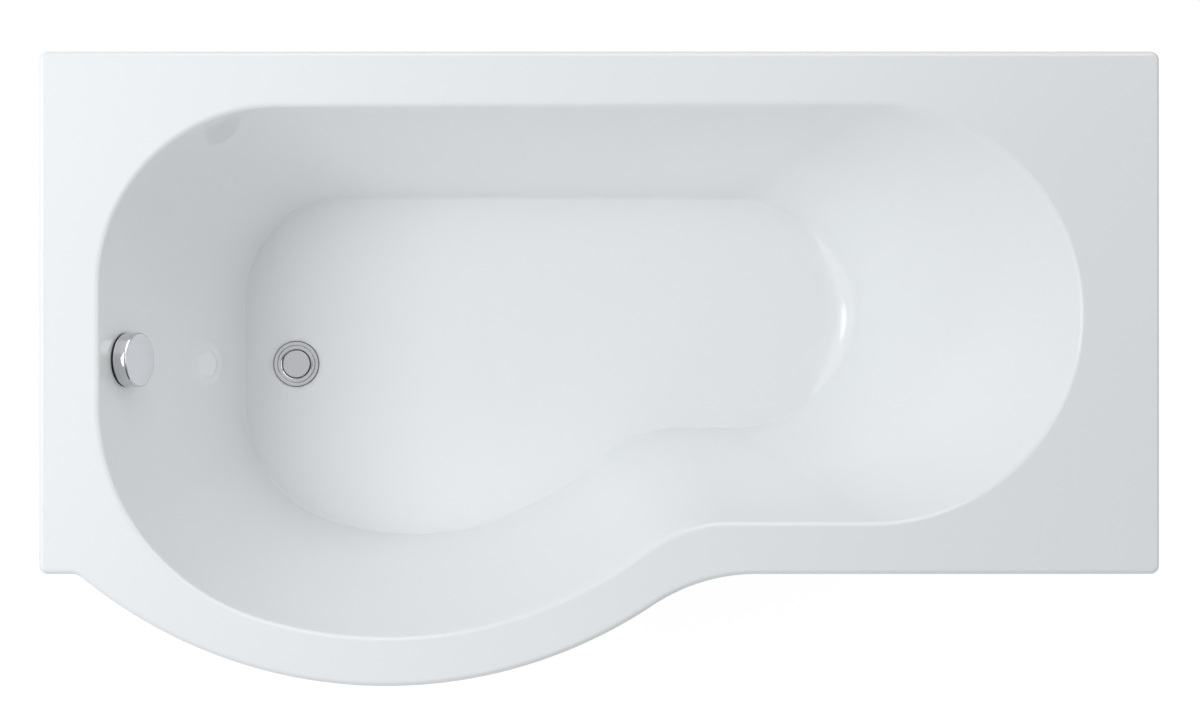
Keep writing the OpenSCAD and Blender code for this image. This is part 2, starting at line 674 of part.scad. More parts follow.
// the lever's half swing, its finger and its crank follow the knob's turn and the plug's lift
wire_travel = drum_r*knob_turn*PI/180;
lever_half = asin(wire_travel/2/crank_r);
lever_reach = plug_lift/2/tan(lever_half);
lever_x = waste_x - lever_reach;
lever_above = 16; // of the lever's shaft above the body's underside
lever_z = trap_low + lever_above;
lever_shaft_r = 2.5;
finger_half = 1.5; // half the finger's thickness
stem_r = 3;
tip_gap = 0.35;    // between the finger and the stem's round end
stem_tip_z = lever_z - lever_reach*tan(lever_half) + (finger_half + stem_r)/cos(lever_half) + tip_gap;
crank_out = 6;     // of the middle of the crank outside the body
crank_y = waste_y + trap_r + crank_out;
wire_z = lever_z + crank_r*(1 + cos(lever_half))/2;
wire_pin_x = lever_x + wire_travel/2;
gland_r = 4;
gland_out = 5;     // of the mouth of the cable's gland outside the body
gland_x = waste_x - trap_r - gland_out;
gland_length = 20;
boss_length = 5;                 // of the lever's bearing outside the body
boss_sink = 6;                   // of that bearing and the cable's arm inside the body
boss_wall = 3.5;
arm_sink = 4;                    // of the arm that holds the cable's gland
arm_thick = 4;
arm_height = 16;
arm_below = 9;                   // the wire
arm_post = 6;
body_edge = 2;                   // chamfer round the body's underside
guide_above = 34;                // of the stem's guide above the body's underside
guide_side = 3;                  // of the guide, each side of the stem
inlet_angle = 25;                // the hose comes down into the body at this angle
nut_grip = 7;                    // of a hose nut, each side of its joint
nut_wall = 4;
// the inlet is long enough for its nut to stay 1 mm clear of the body
inlet_length = nut_grip + (trap_r + 1 + (hose_r + nut_wall)*sin(inlet_angle))/cos(inlet_angle);
inlet_z = trap_low + lever_above;
guide_z = trap_low + guide_above;
guide_thick = 5;
trap_in = trap_r - trap_wall;
module at_inlet() { translate([waste_x, overflow_y, inlet_z]) rotate([0, inlet_angle - 90, 0]) children(); }
module waste_body() {
    arm_y = waste_y + trap_r - arm_sink;
    color(WHITE_PLASTIC) difference() {
        union() {
            at_waste() rotate_extrude() polygon([
                [0, outlet_low], [thread_r, outlet_low], [thread_r, trap_low], [trap_r - body_edge, trap_low],
                [trap_r, trap_low + 1.5*body_edge], [trap_r, trap_top - trap_flange],
                [trap_flange_r, trap_top - trap_flange], [trap_flange_r, trap_top], [0, trap_top]]);
            at_inlet() cylinder(r = hose_r, h = inlet_length);
            translate([lever_x, waste_y, lever_z]) rotate([-90, 0, 0])
                cylinder(r = lever_shaft_r + boss_wall, h = trap_r + boss_length - boss_sink);
            translate([gland_x - gland_length, arm_y, wire_z - arm_below])
                cube([waste_x - gland_x + gland_length - boss_sink, arm_thick, arm_height]);
            translate([gland_x - gland_length, arm_y, wire_z - arm_below])
                cube([arm_post, crank_y - arm_y, arm_height]);
            translate([gland_x - gland_length, crank_y, wire_z]) rotate([0, 90, 0])
                cylinder(r = gland_r, h = gland_length);
        }
        at_waste() translate([0, 0, outlet_low - 1]) cylinder(r = outlet_bore_r, h = outlet_length + trap_wall + 2);
        at_waste() translate([0, 0, trap_low + trap_wall])
            cylinder(r = trap_in, h = spigot_low - 1 - trap_low - trap_wall);
        at_waste() translate([0, 0, spigot_low - 2]) cylinder(r = thread_r + seat_gap, h = trap_top - spigot_low + 3);
        at_inlet() translate([0, 0, trap_in/2]) cylinder(r = hose_bore_r, h = inlet_length);
        translate([lever_x, waste_y, lever_z]) rotate([-90, 0, 0])
            cylinder(r = lever_shaft_r + running_fit, h = trap_r + boss_length);
        translate([gland_x - gland_length - 1, crank_y, wire_z]) rotate([0, 90, 0])
            cylinder(r = wire_r + running_fit, h = gland_length + 2);
    }
    // the bridge that guides the plug's stem
    guide_half = stem_r + guide_side;
    color(WHITE_PLASTIC) at_waste() difference() {
        intersection() {
            translate([-guide_half, -trap_r, guide_z]) cube([2*guide_half, 2*trap_r, guide_thick]);
            translate([0, 0, guide_z - 1]) cylinder(r = trap_in + 1, h = guide_thick + 2);
        }
        translate([0, 0, guide_z - 1]) cylinder(r = stem_r + running_fit, h = guide_thick + 2);
    }
}

seal_thick = 1.2;
cap_low = dish_low + seal_thick;
cap_top = floor_top - 0.2;
cap_hub = 7.4; // depth of the cap's hub below the cap
module plug_cap() {
    color(CHROME) at_waste() rotate_extrude() polygon([
        [0, cap_low - 2], [stem_r + running_fit, cap_low - 2], [stem_r + running_fit, cap_low - cap_hub],
        [stem_r + 3, cap_low - cap_hub], [stem_r + 3, cap_low], [plug_r - 0.3, cap_low], [plug_r, cap_low + 0.3],
        [plug_r, cap_top - 0.6], [plug_r - 0.6, cap_top], [0, cap_top]]);
}
module plug_seal() { color(RUBBER) at_waste() ring(plug_r - 0.5, stem_r + 3 + seat_gap, dish_low, cap_low); }
module plug_stem() {
    color(ZINC) at_waste() {
        translate([0, 0, stem_tip_z]) sphere(r = stem_r);
        translate([0, 0, stem_tip_z]) cylinder(r = stem_r, h = cap_low - 2 - stem_tip_z);
    }
}

// The lever, drawn with its finger level and turned down by half its swing. The wire's nipple
// sits in the crank's fork, and a slit lets the wire through to it.
nipple_r = wire_r + 0.6;
module lift_lever() {
    finger_w = 6;
    crank_w = 9;
    crank_thick = 6;
    fork_w = 2*nipple_r + 0.5;
    fork_low = crank_r - nipple_r - 1;
    slit_w = 2*wire_r + 0.8;
    color(ZINC) translate([lever_x, 0, lever_z]) rotate([0, lever_half, 0]) {
        translate([0, waste_y - finger_w/2 - 2, 0]) rotate([-90, 0, 0])
            cylinder(r = lever_shaft_r, h = crank_y + crank_thick/2 - waste_y + finger_w/2 + 2);
        translate([0, waste_y + finger_w/2, 0]) rotate([90, 0, 0]) linear_extrude(finger_w) {
            circle(r = lever_shaft_r + 1.5);
            translate([0, -finger_half]) square([lever_reach + 4, 2*finger_half]);
            translate([lever_reach + 4, 0]) circle(r = finger_half);
        }
        translate([0, crank_y, 0]) difference() {
            translate([0, crank_thick/2, 0]) rotate([90, 0, 0]) linear_extrude(crank_thick) {
                circle(r = crank_w/2);
                translate([-crank_w/2, 0]) square([crank_w, crank_r + 4]);
            }
            translate([-fork_w/2, -crank_thick, fork_low]) cube([fork_w, 2*crank_thick, crank_w]);
            translate([-crank_w, -slit_w/2, fork_low]) cube([2*crank_w, slit_w, crank_w]);
        }
    }
}

// The wire's free end, which slides into the gland
module cable_wire() {
    wire_in = 8; // length inside the gland while the plug is shut
    nipple_length = 7;
    color(ZINC) {
        translate([wire_pin_x, crank_y - nipple_length/2, wire_z]) rotate([-90, 0, 0])
            cylinder(r = nipple_r, h = nipple_length);
        translate([gland_x - wire_in, crank_y, wire_z]) rotate([0, 90, 0])
            cylinder(r = wire_r, h = wire_pin_x - gland_x + wire_in);
    }
}

// ---- overflow ----

plate_low = seat_gap;
cup_top = -backing_out - gasket_thick;
cup_wall = 4;
cup_flange = 3;
cup_floor = 3;
cup_depth = 2*hose_r + cup_flange + 3;
cup_low = cup_top - cup_depth;
spigot_w = cup_low + hose_r + 1.5;    // level of the hose's spigot
spigot_end = cup_r + 16;
spindle_r = 4;
cup_screw_y = 20;                     // of the two screws, each side of the spindle
cup_screw_r = 2.5;
cup_screw_length = 18;
sheath_gland_y = cup_r - 6;           // of the cable's gland on the cup
sheath_gland_w = cup_low + 20;
sheath_gland_end = cup_r + 6;
module overflow_knob() {
    top = knob_gap + knob_depth;
    edge = 4; // radius round the face
    hollow = top - 5;
    color(CHROME) at_overflow() rotate_extrude($fn = 96) polygon(concat(
        [[0, hollow], [knob_r - 7, hollow], [knob_r - 3, hollow - 4], [knob_r - 3, knob_gap],
         [knob_r - 0.8, knob_gap], [knob_r, knob_gap + 0.8]],
        [for (a = [0:15:90]) [knob_r - 0.8 - edge + edge*cos(a), top - edge + edge*sin(a)]],
        [for (k = [1:6]) let (s = 1 - k/6) [(knob_r - 0.8 - edge)*s, top - 0.9*(1 - s*s)]]));
    color(CHROME) at_overflow() ring(spindle_r + 3, spindle_r + running_fit, knob_gap + 2, hollow);
}
module overflow_spindle() {
    drum_flange = 1.5;
    color(ZINC) at_overflow() {
        translate([0, 0, cup_low + 8]) cylinder(r = spindle_r, h = knob_gap + knob_depth - 5 - cup_low - 8);
        translate([0, 0, sheath_gland_w - 3]) cylinder(r = drum_r, h = 6);
        for (s = [-1, 1]) translate([0, 0, sheath_gland_w + s*3.75 - drum_flange/2])
            cylinder(r = drum_r + 3, h = drum_flange);
    }
}
module overflow_plate() {
    hub_r = spindle_r + 4;
    slot_r = shell_hole_r - 3;
    color(CHROME) at_overflow() difference() {
        union() {
            translate([0, 0, plate_low]) cylinder(r = plate_r, h = plate_thick);
            translate([0, 0, -10]) cylinder(r = hub_r, h = 10 + plate_low + plate_thick);
        }
        translate([0, 0, -11]) cylinder(r = spindle_r + running_fit, h = 20);
        // six slots for the water, clear of the two screws
        for (a = [-32, 0, 32], half = [0, 180]) rotate([0, 0, a + half])
            translate([hub_r + 2.5, -2.75, plate_low - 1]) cube([slot_r - hub_r - 2.5, 5.5, plate_thick + 2]);
        for (s = [-1, 1]) translate([0, s*cup_screw_y, plate_low - 1])
            cylinder(r = cup_screw_r + running_fit, h = plate_thick + 2);
    }
}
module overflow_screws() {
    color(ZINC) at_overflow() for (s = [-1, 1])
        translate([0, s*cup_screw_y, plate_low + plate_thick]) screw_low(cup_screw_r, cup_screw_length);
}
module screw_low(r, length) {
    translate([0, 0, -length]) cylinder(r = r, h = length + 0.8);
    cylinder(r = 1.8*r, h = 0.8);
}
module overflow_gasket() { color(RUBBER) at_overflow() ring(cup_r + 6, shell_hole_r + 0.5, cup_top, -backing_out); }
module overflow_body() {
    cup_in = cup_r - cup_wall;
    boss_r = cup_screw_r + 2;
    boss_low = cup_low + cup_floor - 1;
    color(WHITE_PLASTIC) at_overflow() difference() {
        union() {
            difference() {
                union() {
                    rotate_extrude() polygon([
                        [0, cup_low], [cup_r - 1, cup_low], [cup_r, cup_low + 1], [cup_r, cup_top - cup_flange],
                        [cup_r + 6, cup_top - cup_flange], [cup_r + 6, cup_top], [0, cup_top]]);
                    translate([cup_r - 8, 0, spigot_w]) rotate([0, 90, 0])
                        cylinder(r = hose_r, h = spigot_end - cup_r + 8);
                    translate([cup_r - 16, sheath_gland_y, sheath_gland_w]) rotate([0, 90, 0])
                        cylinder(r = gland_r, h = sheath_gland_end - cup_r + 16);
                }
                translate([0, 0, cup_low + cup_floor]) cylinder(r = cup_in, h = cup_depth);
            }
            // two pillars for the screws
            for (s = [-1, 1]) translate([0, s*cup_screw_y, boss_low])
                cylinder(r = boss_r, h = cup_top - cup_flange - boss_low);
        }
        translate([cup_in - 6, 0, spigot_w]) rotate([0, 90, 0]) cylinder(r = hose_bore_r, h = spigot_end);
        translate([cup_r - 18, sheath_gland_y, sheath_gland_w]) rotate([0, 90, 0])
            cylinder(r = wire_r + running_fit, h = sheath_gland_end);
        for (s = [-1, 1]) translate([0, s*cup_screw_y, plate_low + plate_thick - cup_screw_length])
            cylinder(r = cup_screw_r + running_fit, h = cup_screw_length);
    }
}

// ---- hose and cable ----

// A point of the overflow's frame, down the wall and out of it, as X and Z of the bath
function overflow_xz(down, out) =
    [overflow_x + down*sin(head_draft) + out*cos(head_draft),
     overflow_z - down*cos(head_draft) + out*sin(head_draft)];

// A route in X and Z: straight down from p0 at a0 below level, one bend of radius r, straight
// into p1 at a1 below level. It keeps the lengths of its three stretches.
function route(p0, a0, p1, a1, r) =
    let (d0 = [cos(a0), -sin(a0)], d1 = [cos(a1), -sin(a1)], v = p1 - p0,
         to_corner = (v.x*d1.y - v.y*d1.x)/(d0.x*d1.y - d0.y*d1.x), cut = r*tan((a0 - a1)/2))
    [p0, a0, p1, a1, r, to_corner - cut, r*(a0 - a1)*PI/180, norm(p1 - p0 - d0*to_corner) - cut];
function route_length(w) = w[5] + w[6] + w[7];
// X, Z and the angle below level at a distance s along a route
function route_at(w, s) =
    let (turned = min(max(s - w[5], 0), w[6])/w[4]*180/PI, a = w[1] - turned)
    concat(w[0] + min(s, w[5])*[cos(w[1]), -sin(w[1])]
           + w[4]*([sin(w[1]), cos(w[1])] - [sin(a), cos(a)])
           + max(s - w[5] - w[6], 0)*[cos(w[3]), -sin(w[3])], a);
// A ring of points round a route whose Y goes from y0 to y1
TUBE_SIDES = 8;
function tube_ring(w, s, r, y0, y1) =
    let (p = route_at(w, s), y = y0 + (y1 - y0)*s/route_length(w))
    [for (k = [0:TUBE_SIDES - 1]) let (f = 360*(k + 0.5)/TUBE_SIDES)
        [p[0] + r*cos(f)*sin(p[2]), y + r*sin(f), p[1] + r*cos(f)*cos(p[2])]];

hose_start = overflow_xz(spigot_end, spigot_w);
hose_end = [waste_x - inlet_length*cos(inlet_angle), inlet_z + inlet_length*sin(inlet_angle)];
hose_route = route(hose_start, 90 - head_draft, hose_end, inlet_angle, hose_bend_r);
hose_length = route_length(hose_route);
hose_cuff = 2*hose_r; // plain, straight ends
module overflow_hose() {
    ribs = floor((hose_length - 2*hose_cuff)/rib_pitch);
    pitch = (hose_length - 2*hose_cuff)/ribs;
    bore_steps = 24;
    function at(s, r) = tube_ring(hose_route, s, r, overflow_y, overflow_y);
    outer = concat([at(0, hose_r), at(hose_cuff, hose_r)],
                   [for (k = [0:ribs - 1], half = [0, 1])
                       at(hose_cuff + pitch*(k + (half + 1)/2), half == 0 ? hose_r - rib_depth : hose_r)],
                   [at(hose_length, hose_r)]);
    inner = [for (k = [bore_steps:-1:0]) at(hose_length*k/bore_steps, hose_bore_r - 0.5)];
    color(GREY_PLASTIC) looped(concat(outer, inner));
}
module hose_nut() {
    difference() {
        translate([0, 0, -nut_grip]) cylinder(r = hose_r + nut_wall, h = 2*nut_grip, $fn = 48);
        translate([0, 0, -nut_grip - 1]) cylinder(r = hose_r + side_gap, h = 2*nut_grip + 2);
        for (a = [0:30:330]) rotate([0, 0, a]) translate([hose_r + nut_wall + 0.6, 0, -nut_grip - 1])
            cylinder(r = 1.5, h = 2*nut_grip + 2, $fn = 16);
    }
}
module hose_nuts() {
    color(WHITE_PLASTIC) {
        at_overflow() translate([spigot_end, 0, spigot_w]) rotate([0, 90, 0]) hose_nut();
        at_inlet() translate([0, 0, inlet_length]) hose_nut();
    }
}

cable_start = overflow_xz(sheath_gland_end, sheath_gland_w);
cable_end = [gland_x - gland_length, wire_z];
cable_route = route(cable_start, 90 - head_draft, cable_end, 0, cable_bend_r);
cable_length = route_length(cable_route);
cable_y0 = overflow_y + sheath_gland_y;
cable_steps = ceil(cable_length/(5*sheath_r));
module control_cable() {
    function at(s) = tube_ring(cable_route, s, sheath_r, cable_y0, crank_y);
    color(RUBBER) lofted([for (k = [0:cable_steps]) at(cable_length*k/cable_steps)],
                         [cable_start.x, cable_y0, cable_start.y], [cable_end.x, crank_y, cable_end.y]);
}
// A moulded clip that ties the cable to the hose
clip_down = 190;
module cable_clip() {
    thick = 1.6;
    along = clip_down - sheath_gland_end;
    cable_at = sheath_gland_y + (crank_y - cable_y0)*along/cable_length;
    hose_at = [-spigot_w, 0];
    sheath_at = [-sheath_gland_w, cable_at];
    tie = sheath_at - hose_at;
    length = 10;
    module tube(at, r, more) {
        translate([at.x, at.y, -more]) cylinder(r = r + side_gap, h = length + 2*more);
    }
    color(WHITE_PLASTIC) at_overflow() translate([clip_down - length/2, 0, 0]) rotate([0, 90, 0]) difference() {
        union() {
            tube(hose_at, hose_r + thick, 0);
            tube(sheath_at, sheath_r + thick, 0);
            translate([hose_at.x, hose_at.y, 1]) rotate([0, 0, atan2(tie.y, tie.x)])
                translate([0, -2, 0]) cube([norm(tie), 4, length - 2]);
        }
        tube(hose_at, hose_r, 1);
        tube(sheath_at, sheath_r, 1);
    }
}

bath_shell();
grp_backing();
baseboard();
batten_back();
batten_head();
batten_foot();
batten_front();
batten_bulge();
crossbar_head();
crossbar_foot();
middle_leg_bracket();
frame_screws();
leg_nuts();
for (i = [0:4]) leg_stud(i);
for (i = [0:4]) foot_pad(i);
wall_bracket(-1);  // wall_bracket_left
wall_bracket(1);  // wall_bracket_right
bracket_screws();
waste_washer();
waste_flange();
waste_gasket();
waste_body();
plug_cap();
plug_seal();
plug_stem();
lift_lever();
cable_wire();
control_cable();
cable_clip();
overflow_knob();
overflow_spindle();
overflow_plate();
overflow_screws();
overflow_gasket();
overflow_body();
overflow_hose();
hose_nuts();
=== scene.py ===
# %% [markdown]
# # Dressing a P shaped shower bath
#
# The construction of the bath comes from a CAD model: a one-piece acrylic shell, its glass fibre
# backing, a timber and steel frame with five adjustable feet, and a waste with an overflow whose
# knob lifts the plug through a cable. This lesson gives each of these its real surface. Everything
# is in metres, with the origin on the floor below the middle of the rim, +X towards the foot end,
# +Y towards the wall and +Z up.

# %% Load the construction
import json
import math

import bmesh
import bpy
import numpy as np
from mathutils import Matrix, Vector, noise


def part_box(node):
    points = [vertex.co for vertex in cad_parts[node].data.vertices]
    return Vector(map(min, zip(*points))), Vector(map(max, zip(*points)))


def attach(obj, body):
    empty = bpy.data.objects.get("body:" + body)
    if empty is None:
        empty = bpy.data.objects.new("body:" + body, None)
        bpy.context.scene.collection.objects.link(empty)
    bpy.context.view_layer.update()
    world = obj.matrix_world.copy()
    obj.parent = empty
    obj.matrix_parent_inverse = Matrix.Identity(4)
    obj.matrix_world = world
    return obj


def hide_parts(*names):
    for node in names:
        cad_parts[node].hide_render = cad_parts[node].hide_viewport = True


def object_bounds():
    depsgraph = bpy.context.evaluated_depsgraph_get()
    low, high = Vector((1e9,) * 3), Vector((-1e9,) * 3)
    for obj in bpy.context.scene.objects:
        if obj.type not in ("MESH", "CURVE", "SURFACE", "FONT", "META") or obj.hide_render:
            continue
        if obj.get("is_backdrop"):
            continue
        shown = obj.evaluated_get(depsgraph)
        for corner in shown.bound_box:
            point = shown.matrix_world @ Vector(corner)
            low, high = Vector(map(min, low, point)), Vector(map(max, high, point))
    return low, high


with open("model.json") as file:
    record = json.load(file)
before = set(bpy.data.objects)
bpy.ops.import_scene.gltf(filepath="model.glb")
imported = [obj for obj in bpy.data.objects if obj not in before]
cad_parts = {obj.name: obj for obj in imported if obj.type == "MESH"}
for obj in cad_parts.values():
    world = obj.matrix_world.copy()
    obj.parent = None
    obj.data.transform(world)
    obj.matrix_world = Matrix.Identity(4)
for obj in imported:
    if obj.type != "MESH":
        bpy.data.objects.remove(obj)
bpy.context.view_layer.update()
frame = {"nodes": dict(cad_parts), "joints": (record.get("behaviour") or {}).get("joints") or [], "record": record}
MM = 0.001

# %% [markdown]
# ## The camera
#
# The bath is seen from straight above, as in a catalogue. A long lens three metres up shows the
# rim's true outline and still looks down every wall of the basin. A Blender camera with no turn
# looks down -Z with +Y up, so it only has to be put in its place.

# %% Camera
CAMERA_PLACE = (0.0013, 0.0097, 3.083)
SENSOR_WIDTH, LENS = 36, 56.9  # in millimetres

camera_data = bpy.data.cameras.new("camera")
camera_data.sensor_width = SENSOR_WIDTH
camera_data.lens = LENS
camera = bpy.data.objects.new("camera", camera_data)
camera.location = CAMERA_PLACE
bpy.context.scene.collection.objects.link(camera)
bpy.context.scene.camera = camera
print(f"the camera sees {math.degrees(2 * math.atan(SENSOR_WIDTH / 2 / LENS)):.1f} degrees across")

# %% [markdown]
# ## Putting pieces in the scene
#
# Every piece goes the same way: a mesh is finished, gets its one material, and is put on the body
# that carries it, so that it moves with the joints. Its object stays at the origin and unturned.
# Where a modifier made the shape, the object under it is only a step on the way: its evaluated
# mesh is copied out as a plain one, and the object goes.

# %% Object helpers
SMOOTH_ANGLE = 38  # degrees between two faces, past which their edge shows


def shade(mesh, angle=SMOOTH_ANGLE):
    """Smooth shading, with an edge kept sharp where its faces meet at more than the angle."""
    mesh.shade_smooth()
    mesh.set_sharp_from_angle(angle=math.radians(angle))


def object_with(name, data):
    """A new object that holds a mesh or a lamp, put in the scene."""
    thing = bpy.data.objects.new(name, data)
    bpy.context.scene.collection.objects.link(thing)
    return thing


def plain_mesh(thing):
    """The mesh that an object's modifiers make. The modifiers and the object are removed."""
    depsgraph = bpy.context.evaluated_depsgraph_get()
    made = bpy.data.meshes.new_from_object(thing.evaluated_get(depsgraph))
    thing.modifiers.clear()
    bpy.data.objects.remove(thing)
    return made


def add_piece(name, mesh, body, material, replaces=()):
    """Puts a finished mesh on its CAD body, in place of the CAD nodes that it stands for."""
    mesh.name = name
    mesh.materials.clear()
    mesh.materials.append(material)
    piece = object_with(name, mesh)
    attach(piece, body)
    if replaces:
        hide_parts(*replaces)
    print(f"{name}: {len(mesh.polygons)} faces")


# %% [markdown]
# ## Meshes from rings and profiles
#
# The large moulded pieces are built from rings of points: a ring is a closed line of points, and
# a skin joins each ring to the next. Turned parts, such as the knob, are a profile spun round an
# axis. Blender's Spin tool could do that too, but rings leave the poles and the seam closed
# without a second step. Real corners are never razor sharp, and the thin highlight along a
# rounding is what makes a piece look solid, so a profile's corners are rounded before it is spun.

# %% Mesh helpers
SAME_POINT = 1e-7  # metres between two points that are merged
ROUNDING_SHARE = 0.45  # of a line of a profile, that the rounding at one end may take up


def closed_up(mesh, distance=SAME_POINT):
    """The mesh with its near points merged and its faces pointing outwards."""
    bm = bmesh.new()
    bm.from_mesh(mesh)
    bmesh.ops.remove_doubles(bm, verts=bm.verts, dist=distance)
    bmesh.ops.recalc_face_normals(bm, faces=bm.faces)
    bm.to_mesh(mesh)
    bm.free()
    return mesh


def mesh_of(points, faces):
    """A mesh of points and faces, closed up."""
    mesh = bpy.data.meshes.new("piece")
    mesh.from_pydata([tuple(p) for p in points], [], faces)
    return closed_up(mesh)


def skin(rings, tube=False):
    """Quads between neighbouring rings of equal length. A tube's last ring joins its first."""
    points = np.concatenate(rings)
    n = len(rings[0])
    pairs = [(k, k + 1) for k in range(len(rings) - 1)]
    if tube:
        pairs.append((len(rings) - 1, 0))
    step = [(i, (i + 1) % n) for i in range(n)]
    faces = [(a * n + i, a * n + j, b * n + j, b * n + i) for a, b in pairs for i, j in step]
    return points, faces


def spun(profile, place=Matrix(), segments=128):
    """A mesh of a closed profile, points (radius, height), spun round the axis of a placing matrix.
    Points with no radius close the shape at its poles."""
    turn = 2 * math.pi * np.arange(segments) / segments
    rings = [np.column_stack((r * np.cos(turn), r * np.sin(turn), np.full(segments, z)))
             for r, z in profile]
    on_axis = profile[0][0] == 0 and profile[-1][0] == 0
    mesh = mesh_of(*skin(rings, tube=not on_axis))
    mesh.transform(place)
    shade(mesh)
    return mesh


def rounded(profile, radius, steps=4):
    """A profile with every corner that has room for it rounded. Points on the axis stay."""
    made = []
    for k, corner in enumerate(profile):
        here = Vector(corner)
        if here.x == 0:
            made.append(tuple(here))
            continue
        before = Vector(profile[k - 1]) - here
        after = Vector(profile[(k + 1) % len(profile)]) - here
        reach = min(radius, ROUNDING_SHARE * before.length, ROUNDING_SHARE * after.length)
        start = here + before.normalized() * reach
        end = here + after.normalized() * reach
        for s in np.linspace(0, 1, steps + 1):
            made.append(tuple(start.lerp(here, s).lerp(here.lerp(end, s), s)))
    return made


# %% [markdown]
# ## How the finishes are made
#
# Each finish is one Principled shader whose colour, roughness and bump follow a few procedural
# textures. They read Object coordinates, so a pattern keeps its real size on every piece and needs
# no unwrapping. Numbers that are the same all over sit on the shader's own sockets. The helpers
# below each add one kind of node and wire it up, so that a finish reads as a short recipe.

# %% Node helpers
def feed(tree, value, socket):
    """Puts a plain value in a socket, or links another node's output to it."""
    if isinstance(value, bpy.types.NodeSocket):
        tree.links.new(value, socket)
    else:
        socket.default_value = value


def maths(tree, operation, *values):
    """A Math node on outputs and numbers."""
    node = tree.nodes.new("ShaderNodeMath")
    node.operation = operation
    for k, value in enumerate(values):
        feed(tree, value, node.inputs[k])
    return node.outputs[0]


def blend(tree, factor, first, second):
    """The first colour where the factor is 0, and the second where it is 1."""
    node = tree.nodes.new("ShaderNodeMix")
    node.data_type = "RGBA"
    for name, value in (("Factor", factor), ("A", first), ("B", second)):
        feed(tree, value, node.inputs[name])
    return node.outputs["Result"]


def texture(tree, kind, scale, stretch=(1, 1, 1), turn=(0, 0, 0), **sockets):
    """A texture node on Object coordinates, stretched and turned by a Mapping node."""
    place = tree.nodes.new("ShaderNodeTexCoord")
    mapping = tree.nodes.new("ShaderNodeMapping")
    mapping.inputs["Scale"].default_value = stretch
    mapping.inputs["Rotation"].default_value = turn
    node = tree.nodes.new(kind)
    node.inputs["Scale"].default_value = scale
    for name, value in sockets.items():
        node.inputs[name].default_value = value
    tree.links.new(place.outputs["Object"], mapping.inputs["Vector"])
    tree.links.new(mapping.outputs["Vector"], node.inputs["Vector"])
    return node


def ramp(tree, value, stops):
    """Colours along a value: stops are (position, colour) pairs."""
    node = tree.nodes.new("ShaderNodeValToRGB")
    elements = node.color_ramp.elements
    while len(elements) < len(stops):
        elements.new(1)
    for element, (position, colour) in zip(elements, stops):
        element.position = position
        element.color = (*colour, 1)
    tree.links.new(value, node.inputs["Fac"])
    return node.outputs["Color"]


def spread(tree, value, low, high):
    """A value from 0 to 1 mapped to low and high."""
    node = tree.nodes.new("ShaderNodeMapRange")
    node.inputs["To Min"].default_value = low
    node.inputs["To Max"].default_value = high
    tree.links.new(value, node.inputs["Value"])
    return node.outputs["Result"]


# %% Shader helpers
def start_material(name, roughness=0.5, metallic=0.0, ior=1.5):
    """A new material, its node tree and its shader."""
    material = bpy.data.materials.new(name)
    material.use_nodes = True
    shader = material.node_tree.nodes["Principled BSDF"]
    shader.inputs["Roughness"].default_value = roughness
    shader.inputs["Metallic"].default_value = metallic
    shader.inputs["IOR"].default_value = ior
    print("material", name)
    return material, material.node_tree, shader


def bump(tree, shader, height, strength, distance):
    """Bump from a height."""
    node = tree.nodes.new("ShaderNodeBump")
    node.inputs["Strength"].default_value = strength
    node.inputs["Distance"].default_value = distance
    tree.links.new(height, node.inputs["Height"])
    tree.links.new(node.outputs["Normal"], shader.inputs["Normal"])


# %% [markdown]
# ## Gloss acrylic
#
# The bath is vacuum formed from one sheet of white acrylic. It is glossy, but never a perfect
# mirror: the sheet keeps a faint waviness from the forming, and its gloss is a little uneven. A
# plain white shader would look like painted plaster, so a slow noise shifts the colour by about a
# hundredth and drives a very weak bump, and a second one varies the gloss.

# %% Acrylic
def acrylic():
    """White sheet acrylic."""
    material, tree, shader = start_material("acrylic", ior=1.49)
    sheet = texture(tree, "ShaderNodeTexNoise", 2.2, Detail=1.0)
    tint = ramp(tree, sheet.outputs["Fac"], [(0.3, (0.935, 0.942, 0.946)), (0.7, (0.950, 0.955, 0.958))])
    tree.links.new(tint, shader.inputs["Base Color"])
    smear = texture(tree, "ShaderNodeTexNoise", 9, Detail=3.0)
    tree.links.new(spread(tree, smear.outputs["Fac"], 0.02, 0.06), shader.inputs["Roughness"])
    bump(tree, shader, sheet.outputs["Fac"], 0.05, 4 * MM)
    return material


ACRYLIC = acrylic()

# %% [markdown]
# ## Glass fibre and resin
#
# Below, the sheet is stiffened by chopped glass strands sprayed on with polyester resin. The layer
# is a cloudy yellowish grey in which short pale strands lie every way. Three long, thin noises,
# each turned its own way, stand for the strands, and the strongest of the three shows at each
# point. Real strands as geometry would be millions of faces for a side that is seldom seen.

# %% Laminate
STRAND_TURNS = ((0.3, 0.5, 0.2), (1.1, 0.2, 1.3), (0.6, 1.4, 2.2))


def laminate():
    """Chopped strand mat under resin."""
    material, tree, shader = start_material("laminate", ior=1.52)
    cloud = texture(tree, "ShaderNodeTexNoise", 14, Detail=3.0)
    base = ramp(tree, cloud.outputs["Fac"], [(0.3, (0.66, 0.67, 0.58)), (0.7, (0.80, 0.80, 0.73))])
    strands = [texture(tree, "ShaderNodeTexNoise", 60, (9, 1, 1), turn, Detail=1.0).outputs["Fac"]
               for turn in STRAND_TURNS]
    strongest = maths(tree, "MAXIMUM", maths(tree, "MAXIMUM", strands[0], strands[1]), strands[2])
    fibre = ramp(tree, strongest, [(0.58, (0, 0, 0)), (0.68, (1, 1, 1))])
    tree.links.new(blend(tree, fibre, base, (0.86, 0.87, 0.80, 1)), shader.inputs["Base Color"])
    bump(tree, shader, strongest, 0.5, 1.2 * MM)
    return material


LAMINATE = laminate()

